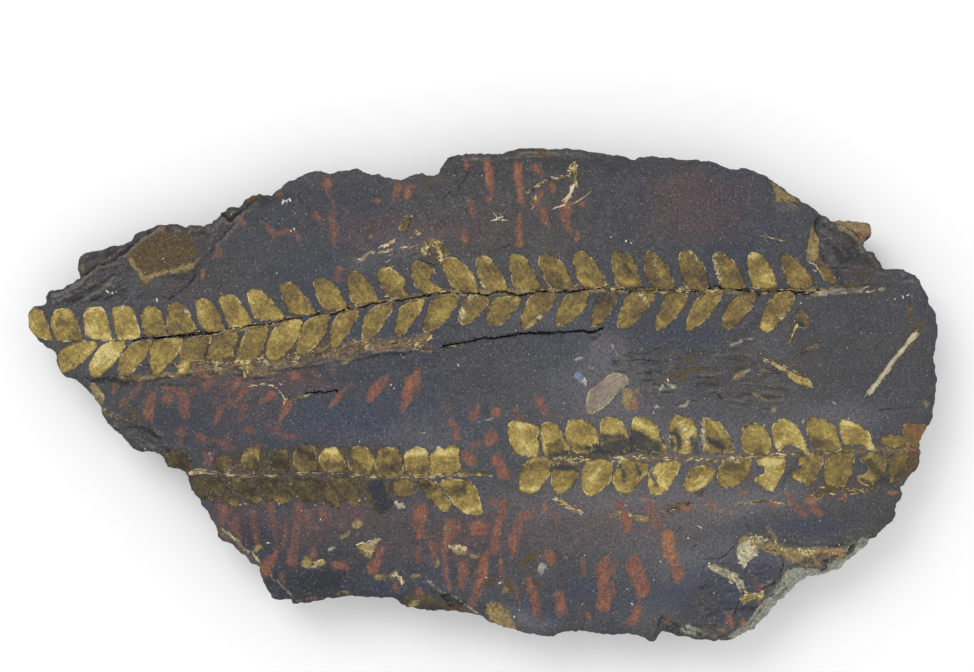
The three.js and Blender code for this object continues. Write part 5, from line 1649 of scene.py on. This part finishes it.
lowerLeftPatches = [leaflet(tone, flat, 0.3, 0.26 * mm) for tone, flat in lowerLeftLeaflets] + strew([
    ([186, 473, 195, 471, 210, 472], 2.4, 14, (5, 13), (1, 2.2), (0.4, 0.9), 1.4, 0.2, "pink", (0.5, 1.0)),
    ([187, 474, 200, 472, 225, 475, 255, 476, 290, 475, 330, 473], 2.2, 50, (3, 11), (0.7, 1.5),
        (0.1, 0.9), 1.2, 0.1, "pink", (0.2, 0.9)),
    ([330, 474, 380, 476, 404, 477, 432, 477, 460, 475], 2.4, 56, (3, 9), (0.7, 1.6), (0.2, 1.0), 1.2, 0.2,
        "pink", (0, 0.7)),
    ([430, 476, 446, 475], 1.4, 8, (3, 7), (0.8, 1.6), (0.8, 1.1), 1.4, 0.1, "pink", (0.2, 0.8)),
    ([462, 475, 474, 474, 490, 475], 2.2, 14, (5, 12), (1.4, 2.6), (0.45, 0.8), 1.1),
    ([396, 503, 400, 505, 404, 505], 2, 12, (3, 6), (1.2, 2.4), (1.0, 1.2), 2.0, 0.4, "bone", (0.8, 1.0)),
    # scraps of tissue on the worn lower row
    ([190, 482, 240, 492, 300, 494, 360, 492], 16, 60, (2, 6), (0.8, 1.8), (0.1, 0.65), 1.8, 0.9),
    ([212, 500, 240, 505, 262, 503, 285, 502], 3, 18, (2, 6), (0.8, 1.8), (0.5, 0.85), 1.8, 0.7),
], 73)

lowerRightPatches = [leaflet(tone, flat, 0.55, 0.24 * mm) for tone, flat in lowerRightLeaflets] + strew([
    ([528, 459, 565, 461, 600, 459, 650, 459], 3, 44, (3, 10), (0.8, 2), (0.2, 0.8), 1.1, 0.3, "pink",
        (0, 0.4)),
    ([640, 459, 680, 459, 726, 461], 2.4, 26, (3, 9), (0.8, 1.8), (0.3, 0.9), 1.2, 0.25, "pink", (0, 0.5)),
    ([564, 458, 574, 459, 582, 457], 2, 8, (3, 7), (0.8, 1.6), (0.8, 1.1), 1.5, 0.4, "pink", (0.2, 0.7)),
    ([612, 458, 630, 457, 648, 459], 1.6, 12, (3, 8), (0.8, 1.6), (0.8, 1.1), 1.5, 0.2, "pink",
        (0.2, 0.7)),
    ([726, 461, 731, 458, 740, 457, 752, 458], 1, 10, (3, 8), (0.8, 1.6), (0.8, 1.1), 1.5, 0.1, "pink",
        (0.3, 0.8)),
    ([770, 455, 778, 454, 786, 455], 1, 8, (3, 8), (1, 1.8), (0.8, 1.1), 1.5, 0.1, "pink", (0.3, 0.8)),
    ([829, 454, 832, 450, 834, 446, 840, 444], 1, 9, (3, 7), (1, 1.8), (0.8, 1.1), 1.5, 0.2, "pink",
        (0.3, 0.8)),
    ([737, 458, 765, 455, 800, 454, 840, 451], 1.6, 30, (4, 12), (0.8, 1.6), (0.3, 0.8), 1.1, 0.12, "pink",
        (0, 0.4)),
    ([840, 450, 875, 450, 900, 449, 919, 453], 2, 24, (4, 14), (0.8, 1.8), (0.3, 0.8), 1.0),
    ([704, 418, 702, 436, 704, 452], 2, 14, (3, 9), (0.8, 1.4), (0.4, 0.9), 1.6, 0.3, "pink", (0.2, 0.8)),
    ([802, 420, 804, 424, 806, 428], 1.2, 4, (3, 5), (1, 1.6), (0.8, 1.0), 1.4, 0.3, "pink", (0.3, 0.7)),
    ([800, 498, 815, 495, 845, 490, 876, 487], 6, 34, (3, 11), (0.8, 2), (0.25, 0.7), 0.5, 0.3),
], 81)
buildFilms("upper_leaf", upperPatches, 100, leafFilm)
buildFilms("lower_left_leaf", lowerLeftPatches, 400, leafFilm)
buildFilms("lower_right_leaf", lowerRightPatches, 700, leafFilm)

# Twigs and scraps. The two big twigs stand higher than a film. First the outlines of the larger bits.
goldTwig = [766, 359, 770, 358, 779, 364, 790, 371, 802, 376, 812, 384, 809, 387, 798, 384, 788, 376,
    776, 367]
paleTwig = [917, 332, 904, 348, 890, 365, 878, 382, 868, 394]
greyFlake = [586, 411, 586, 402, 588, 392, 600, 382, 609, 375, 617, 372, 627, 377, 629, 384, 620, 390,
    609, 403, 600, 410, 592, 415]
wedgeScrap = [812, 226, 816, 231, 819, 241, 819, 252, 816, 261, 808, 261, 807, 250, 809, 238]
bentScrap = [799, 324, 797, 328, 792, 337, 789, 344, 790, 338, 794, 329, 796, 323]
tornScrap = [399, 228, 402, 222, 408, 219, 412, 214, 410, 223, 407, 231, 401, 232]
scraps = [
    patchOf(smoothRing(spots(goldTwig), 0.25 * mm, 0.6), 0.8, 1.6, 0.1, 0.25 * mm, 0.14 * mm),
    strand(paleTwig, 4, 5, 1.0, 2.0, 0.0, "bone", 0.8),
    strand([527, 193, 540, 184, 553, 179, 571, 176], 2, 2, 0.5, 1.0),
    strand([574, 162, 575, 172, 574, 186], 2.6, 3, 0.6, 1.1),
    strand([574, 184, 570, 194, 565, 203], 3, 1.6, 0.9, 1.2, 0.0, "pink", 0.6),
    strand([800, 353, 810, 348, 820, 342], 3.4, 2.6, 0.35, 1.0),
    patchOf(smoothRing(spots(greyFlake), 0.3 * mm, 0.7), 0.66, 0.9, 0, cast="grey", castShare=0.85),
    patchOf(smoothRing(spots(wedgeScrap), 0.25 * mm), 0.7, 1.3, 0.1, 0.25 * mm, 0.16 * mm, "grey", 0.2),
    patchOf(smoothRing(spots(bentScrap), 0.25 * mm), 0.85, 1.2, 0.1, 0.22 * mm),
    patchOf(smoothRing(spots(tornScrap), 0.25 * mm), 0.34, 0.7, 0.3, 0.25 * mm, 0.2 * mm),
]
scraps += strew([
    # on the gold twig and around it
    ([766, 360, 778, 366, 790, 373, 811, 385], 3, 40, (3, 9), (0.8, 1.8), (0.65, 1.2), 3.4, 0.12, "pink",
        (0, 0.5)),
    ([764, 359, 772, 363, 786, 370], 1.4, 22, (3, 8), (0.8, 1.6), (1.0, 1.25), 3.6, 0.1, "pink",
        (0.4, 0.9)),
    ([795, 373, 804, 378, 811, 384], 3.4, 14, (3, 8), (0.8, 1.6), (0.7, 1.1), 3.6, 0.2),
    # light streaks on the pale twig
    ([917, 333, 904, 349, 890, 366, 868, 394], 3, 34, (6, 18), (0.8, 1.4), (0.6, 1.1), 3.4, 0.04, "bone",
        (0.5, 1.0)),
    ([760, 235, 772, 238, 786, 241], 0.8, 12, (4, 10), (0.7, 1.2), (0.5, 0.9), 1.0, 0.1, "rose",
        (0.3, 0.9)),
    # the branching twig near the top
    ([527, 193, 540, 184, 553, 179], 2, 18, (4, 11), (1, 2.2), (0.2, 0.7), 1.2),
    ([541, 182, 550, 180, 560, 178, 571, 176], 2.4, 16, (2, 6), (1, 1.8), (0.7, 1.1), 1.3, 0.4, "pink",
        (0.2, 0.9)),
    ([567, 174, 575, 162], 3, 12, (2, 6), (1, 1.8), (0.5, 1.05), 1.3, 0.8),
    ([575, 165, 575, 176, 573, 186], 4, 20, (3, 8), (1, 2.2), (0.4, 0.9), 1.3, 0.5),
    ([573, 186, 570, 194, 565, 203], 2.4, 18, (3, 8), (1, 2), (0.8, 1.1), 1.3, 0.2, "pink", (0.4, 1.0)),
    ([552, 209, 565, 205, 575, 203, 586, 196, 595, 188], 0.7, 26, (4, 9), (0.6, 1), (0.4, 1.1), 1.0, 0.1,
        "pink", (0.5, 1.0)),
    ([529, 209, 533, 202, 537, 196], 3.4, 9, (3, 7), (1.4, 2.6), (0.2, 0.6), 0.9, 0.3),
    # white threads
    ([491, 221, 499, 219, 509, 221], 0.8, 12, (3, 7), (0.6, 1.1), (0.9, 1.2), 1.0, 0.2, "bone",
        (0.9, 1.0)),
    ([494, 213, 497, 218, 503, 217, 499, 213], 0.6, 12, (2, 5), (0.6, 1), (0.9, 1.2), 1.0, 0.3, "bone",
        (0.9, 1.0)),
    ([584, 379, 586, 385], 1.4, 14, (2, 4), (1, 1.6), (0.9, 1.2), 0.8, 0.6, "bone", (0.9, 1.0)),
    # a torn twig and the ring of tissue at its end
    ([358, 260, 370, 253, 378, 253, 392, 250, 405, 247], 1.4, 26, (4, 11), (1, 2), (0.6, 0.95), 1.0, 0.12,
        "pink", (0.2, 0.6)),
    ([379, 248, 388, 244, 397, 238], 1.4, 12, (4, 9), (1, 2.2), (0.6, 0.95), 1.0, 0.15, "pink",
        (0.2, 0.6)),
    ([385, 264, 410, 256, 432, 246], 12, 26, (8, 20), (0.6, 1), (0.1, 0.4), 0.35, 0.08),
    ([408, 237, 416, 235, 424, 232], 4, 9, (3, 6), (0.8, 1.6), (0.3, 0.9), 0.9, 0.5, "rose", (0.2, 0.8)),
    ([403, 222, 408, 216, 412, 213], 2, 9, (2, 4), (0.8, 1.6), (0.7, 1.05), 1.2, 0.6),
    ([426, 256, 427, 248, 434, 242, 442, 245, 446, 256], 3.4, 50, (3, 7), (0.8, 1.8), (0.4, 1.0), 1.2,
        0.5),
    ([434, 244, 440, 252, 443, 262], 2.6, 40, (3, 7), (0.8, 1.6), (0.8, 1.2), 1.3, 0.5),
    ([555, 499, 562, 502, 568, 505, 574, 509, 580, 512], 3, 24, (4, 9), (1, 2.2), (0.5, 1.1), 1.2, 0.3,
        "pink", (0, 0.6)),
    # the thin arc and the tissue where it meets the crack
    ([250, 386, 262, 384, 272, 386, 279, 391, 284, 397, 284, 404], 1, 24, (3, 6), (0.7, 1.4), (0.6, 1.05),
        0.9, 0.2, "pink", (0.3, 0.8)),
    ([285, 400, 296, 399, 308, 395], 1.6, 12, (4, 10), (1, 1.8), (0.3, 0.65), 0.8),
    # at the broken wedge
    ([806, 254, 812, 240, 814, 230], 2.5, 16, (3, 7), (1, 1.8), (0.4, 0.9), 2.6, 0.3),
    ([808, 258, 810, 250, 813, 244], 3, 14, (3, 8), (1, 2), (0.9, 1.2), 2.8, 0.3, "grey", (0.6, 1.0)),
    ([866, 292, 878, 290, 890, 288], 1.2, 12, (2, 5), (0.8, 1.4), (0.6, 1.1), 1.0, 0.3, "pink",
        (0.2, 0.8)),
    ([806, 258, 813, 262, 818, 270], 2.4, 14, (2, 5), (0.8, 1.6), (0.8, 1.15), 1.4, 0.6, "pink",
        (0.4, 0.9)),
    ([812, 294, 838, 292, 864, 289], 2.4, 24, (5, 16), (1, 2), (0.2, 0.55), 0.7, 0.08, "grey", (0.6, 1.0)),
    # along the left edge
    ([94, 388, 100, 404, 112, 417, 128, 420], 1.6, 14, (4, 12), (0.7, 1.5), (0.35, 0.8), 0.7, 0.2),
    ([90, 386, 97, 392, 101, 402], 4, 16, (4, 12), (1, 2.2), (0.5, 0.95), 0.8, 0.4, "bone", (0, 0.6)),
    ([620, 362, 680, 368, 780, 380], 26, 18, (3, 8), (0.8, 1.8), (0.05, 0.35), 0.4, 0.2),
    # the light rim of the grey flake
    ([587, 410, 587, 402, 589, 393, 600, 383, 610, 376, 617, 373, 626, 378, 628, 384, 620, 390, 611, 400,
        602, 408, 592, 414, 587, 410], 0.7, 100, (2, 6), (0.6, 1.1), (0.5, 1.1), 2.2, 0.15, "bone",
        (0.7, 1.0)),
    # the lower right corner
    ([781, 550, 800, 553, 850, 551], 4, 30, (2, 6), (1, 2.2), (0.7, 1.0), 0.6, 0.8, "bone", (0, 0.3)),
    ([740, 541, 756, 539, 774, 546], 5, 26, (2, 7), (1, 2.6), (0.3, 0.9), 0.8, 0.8, "bone", (0.2, 0.9)),
    ([741, 565, 745, 552, 754, 549], 6, 30, (2, 7), (1.4, 3.4), (0.95, 1.2), 0.8, 0.8, "bone", (0.6, 1.0)),
    ([708, 567, 720, 570, 734, 578, 744, 590], 4, 30, (3, 8), (1, 2.6), (0.5, 1.0), 0.8, 0.4, "bone",
        (0.4, 1.0)),
    ([741, 601, 750, 595, 764, 594], 4, 26, (2, 6), (1.4, 3), (0.8, 1.1), 0.8, 0.6),
    ([766, 526, 771, 535, 779, 547], 1.6, 14, (3, 8), (1, 2), (0.4, 0.85), 0.9, 0.25, "pink", (0, 0.5)),
    ([224, 529, 240, 545, 259, 561], 1.5, 18, (4, 12), (0.7, 1.4), (0.3, 0.75), 0.6, 0.15, "bone",
        (0.2, 0.7)),
    # bits of tissue between the red scraps
    ([357, 545, 368, 542, 380, 540], 1.4, 18, (3, 8), (0.8, 1.6), (0.9, 1.3), 1.2, 0.2, "pink",
        (0.2, 0.8)),
    ([360, 552, 368, 550, 373, 553], 3, 12, (2, 6), (0.8, 1.8), (0.4, 1.0), 1.0, 0.5),
    ([303, 560, 307, 557, 309, 564, 318, 562, 325, 560], 3, 22, (2, 6), (0.8, 2), (0.3, 0.95), 1.0, 0.7),
    ([394, 574, 400, 577, 403, 586], 2, 18, (2, 5), (0.8, 1.6), (0.9, 1.3), 1.3, 0.4, "pink", (0.3, 0.9)),
    ([449, 546, 458, 547, 466, 550], 3, 24, (2, 6), (0.8, 2), (0.7, 1.25), 1.2, 0.4, "pink", (0.2, 0.8)),
    ([668, 511, 680, 507, 688, 503], 2, 12, (3, 9), (0.8, 1.6), (0.1, 0.5), 0.7, 0.2),
    ([738, 504, 752, 503, 766, 501, 790, 504], 1.6, 16, (4, 10), (0.8, 1.4), (0.2, 0.6), 0.7, 0.15),
    ([630, 515, 640, 518, 651, 516], 2, 12, (3, 8), (0.8, 1.6), (0.5, 0.9), 0.8, 0.2),
    ([611, 517, 620, 512], 1.6, 6, (3, 7), (1, 1.8), (0.5, 0.9), 0.8, 0.2),
], 91)
buildFilms("twigs", scraps, 1000, leafFilm)

# Loose bits: ochre crumbs along the cracks and the frayed edge, and white flecks of calcite.
crumbs = {
    "seed": 5,
    # none lies nearer to the slab's edge than this, in mm
    "border": 0.6,
    # a line on the top, how far to either side in steps, how many, their size in mm and their tone
    "lines": [
        ([135, 337, 211, 333, 300, 318], 4, 70, (0.08, 0.26), (0.35, 0.9)),
        ([309, 314, 375, 303, 427, 296], 3, 50, (0.08, 0.24), (0.3, 0.8)),
        ([433, 293, 504, 292, 610, 288], 3.5, 90, (0.08, 0.26), (0.25, 0.8)),
        ([610, 289, 690, 291, 820, 291], 4, 100, (0.08, 0.26), (0.25, 0.75)),
        ([178, 372, 236, 364, 300, 358, 372, 344, 430, 337], 8, 200, (0.08, 0.3), (0.3, 0.8)),
        ([200, 376, 260, 370, 330, 360], 8, 60, (0.08, 0.26), (0.2, 0.6)),
        ([120, 379, 178, 374], 3, 24, (0.1, 0.24), (0.4, 0.7)),
        ([189, 473, 290, 475, 404, 477], 2.5, 60, (0.08, 0.22), (0.5, 0.9)),
        ([530, 459, 700, 459, 900, 450], 3, 80, (0.08, 0.22), (0.4, 0.8)),
        ([660, 506, 700, 508, 740, 512], 5, 24, (0.12, 0.3), (0.4, 0.8)),
        ([740, 545, 790, 548, 850, 552], 8, 70, (0.1, 0.36), (0.5, 1.0)),
        ([745, 600, 765, 596], 5, 16, (0.1, 0.3), (0.4, 0.8)),
        ([800, 497, 830, 492, 875, 488], 5, 40, (0.12, 0.32), (0.35, 0.8)),
    ],
    "colors": [
        (0.0, (60, 50, 42)), (0.3, (110, 88, 60)), (0.55, (152, 126, 78)), (0.8, (190, 168, 116)),
        (1.0, (216, 200, 168)),
    ],
}
flecks = {
    "seed": 8,
    # column, row and size in mm of the ones that stand out
    "known": [
        (283, 202, 0.6), (286, 201, 0.6), (290, 200, 0.5), (291, 231, 0.5), (294, 229, 0.5),
        (107, 291, 0.4), (112, 293, 0.5), (116, 292, 0.3), (157, 300, 0.45), (396, 575, 0.4),
        (268, 543, 0.35), (700, 527, 0.5), (688, 538, 0.45), (654, 580, 0.35), (627, 589, 0.35),
        (632, 604, 0.3), (613, 613, 0.3), (514, 617, 0.4), (500, 583, 0.4), (540, 567, 0.5),
        (458, 365, 0.45), (391, 385, 0.35), (424, 433, 0.3), (903, 297, 0.35), (908, 295, 0.4),
        (912, 296, 0.3), (895, 299, 0.35), (576, 360, 0.4), (141, 365, 0.35), (834, 403, 0.35),
        (801, 303, 0.3), (406, 490, 0.35), (400, 505, 0.5), (396, 502, 0.5), (230, 214, 0.3),
        (611, 237, 0.4), (626, 241, 0.45), (631, 243, 0.4), (668, 380, 0.4), (756, 536, 0.35),
        (766, 540, 0.3), (144, 449, 0.4), (872, 303, 0.3), (887, 300, 0.25),
    ],
    "strewn": 220,
    "strewnSize": (0.07, 0.2),  # in mm
    "border": 2,  # none of the strewn ones lies nearer to the slab's edge than this, in mm
    "colors": [(0.0, (150, 146, 140)), (0.5, (196, 192, 186)), (1.0, (232, 230, 226))],
}
sunk = 0.3  # the share of its size that each bit is pressed into the stone


def makeGrit(name, colors):
    material, tree, shader, place = newMaterial(name)
    fine = grain(tree, place, 1800, 3, 0.6)
    tone = plus(tree, reading(tree, "tone"), swing(tree, fine, 0.8))
    tree.links.new(ramp(tree, tone, colors), shader.inputs["Base Color"])
    shader.inputs["Roughness"].default_value = 0.7
    tree.links.new(bumped(tree, [(fine, 0.4, 0.15 * mm)]), shader.inputs["Normal"])
    return material


def buildGrit(name, places, sizes, tones, longest, seed, material):
    # flattened pebbles, each pressed into the stone
    bm = bmesh.new()
    owner = bm.verts.layers.int.new("owner")
    turns = np.random.default_rng(seed)
    beds = bedHeight(places, False)
    for index, (place, size, bed) in enumerate(zip(places, sizes, beds)):
        spin = Matrix.Rotation(turns.uniform(0, math.tau), 4, "Z")
        flatten = Matrix.Diagonal((size * turns.uniform(0.8, longest), size * 0.8, size * 0.6, 1))
        lay = Matrix.Translation((*place, bed + size * (0.5 - sunk))) @ spin @ flatten
        made = bmesh.ops.create_icosphere(bm, subdivisions=1, radius=1, matrix=lay)
        for vert in made["verts"]:
            vert[owner] = index
    verts = list(bm.verts)
    rough = readPlaces(verts)
    owners = np.array([vert[owner] for vert in verts])
    middles = np.column_stack([places, beds])[owners]
    push = 1 + 0.3 * latticeNoise(rough, 0.35 * mm, seed)
    writePlaces(verts, middles + (rough - middles) * push[:, None])
    bmesh.ops.recalc_face_normals(bm, faces=bm.faces)
    piece = finishPiece(name, bm, material, 30)
    setAttribute(piece, "tone", np.asarray(tones)[owners])
    print(name, "modelled,", triangles(piece), "triangles")
    return piece


chance = np.random.default_rng(crumbs["seed"])
crumbPlaces, crumbSizes, crumbTones = [], [], []
for route, reach, count, sizeRange, toneRange in crumbs["lines"]:
    line = spots(route)
    legs = np.hypot(*np.diff(line, axis=0).T)
    along = chance.uniform(0, legs.sum(), count)
    ends = np.concatenate([[0], np.cumsum(legs)])
    middle = np.column_stack([np.interp(along, ends, line[:, 0]), np.interp(along, ends, line[:, 1])])
    crumbPlaces.append(middle + chance.normal(0, reach * step / 2, (count, 2)))
    crumbSizes.append(chance.uniform(*sizeRange, count) ** 1.2 * mm)
    crumbTones.append(chance.uniform(*toneRange, count))
crumbPlaces = np.vstack(crumbPlaces)
inside = ringGap(crumbPlaces, slabOutline) < -crumbs["border"] * mm
crumbSizes = np.concatenate(crumbSizes)[inside]
crumbTones = np.concatenate(crumbTones)[inside]
ochre = makeGrit("ochre_crumb", crumbs["colors"])
buildGrit("ochre_crumbs", crumbPlaces[inside], crumbSizes, crumbTones, 1.5, 31, ochre)

known = np.array(flecks["known"])
strewn = chance.uniform([nodeLow.x, nodeLow.y], [nodeHigh.x, nodeHigh.y], (flecks["strewn"], 2))
strewn = strewn[ringGap(strewn, slabOutline) < -flecks["border"] * mm]
fleckPlaces = np.vstack([spots(known[:, :2].ravel()), strewn])
fleckSizes = np.concatenate([known[:, 2] * 0.8, chance.uniform(*flecks["strewnSize"], len(strewn))]) * mm
fleckTones = chance.uniform(0.3, 1.0, len(fleckPlaces))
calcite = makeGrit("calcite", flecks["colors"])
buildGrit("calcite_flecks", fleckPlaces, fleckSizes, fleckTones, 2.8, 37, calcite)

# Floor, light and camera.
studio = {
    "floorWidth": 3.0,
    "floor": 0.97,
    "floorRoughness": 0.9,
    "world": 0.82,
    "lens": 85.0,
    "sensor": 36.0,
    "frameSteps": 974,  # how many steps the frame is wide, and the step at its middle
    "middleColumn": 487,
    "middleRow": 336,
    # where a lamp stands, how wide it is and how strong
    "lamps": [((-0.42, 0.55, 1.1), 0.6, 4.4), ((0.5, -0.2, 1.3), 1.2, 1.8)],
}

scene = bpy.context.scene
scene.view_settings.view_transform = "Standard"
bm = bmesh.new()
bmesh.ops.create_grid(bm, x_segments=1, y_segments=1, size=studio["floorWidth"] / 2)
floor = linked("floor", meshOf("floor", bm))
paper, tree, shader, place = newMaterial("pale_floor")
shader.inputs["Base Color"].default_value = (*[studio["floor"]] * 3, 1)
shader.inputs["Roughness"].default_value = studio["floorRoughness"]
floor.data.materials.append(paper)

world = bpy.data.worlds.new("studio")
world.use_nodes = True
sky = world.node_tree.nodes["Background"]
sky.inputs["Color"].default_value = (1, 1, 1, 1)
sky.inputs["Strength"].default_value = studio["world"]
scene.world = world
for number, (spot, width, power) in enumerate(studio["lamps"]):
    lamp = bpy.data.lights.new(f"lamp{number}", "AREA")
    lamp.size = width
    lamp.energy = power
    holder = linked(f"lamp{number}", lamp)
    holder.location = spot
    holder.rotation_euler = Vector(spot).to_track_quat("Z", "Y").to_euler()

view = bpy.data.cameras.new("camera")
view.lens = studio["lens"]
view.sensor_width = studio["sensor"]
camera = linked("camera", view)
over = spots([studio["middleColumn"], studio["middleRow"]])[0]
away = studio["frameSteps"] * step * studio["lens"] / studio["sensor"]
camera.location = (*over, slab["thickness"] + away)
scene.camera = camera
print("stage set")
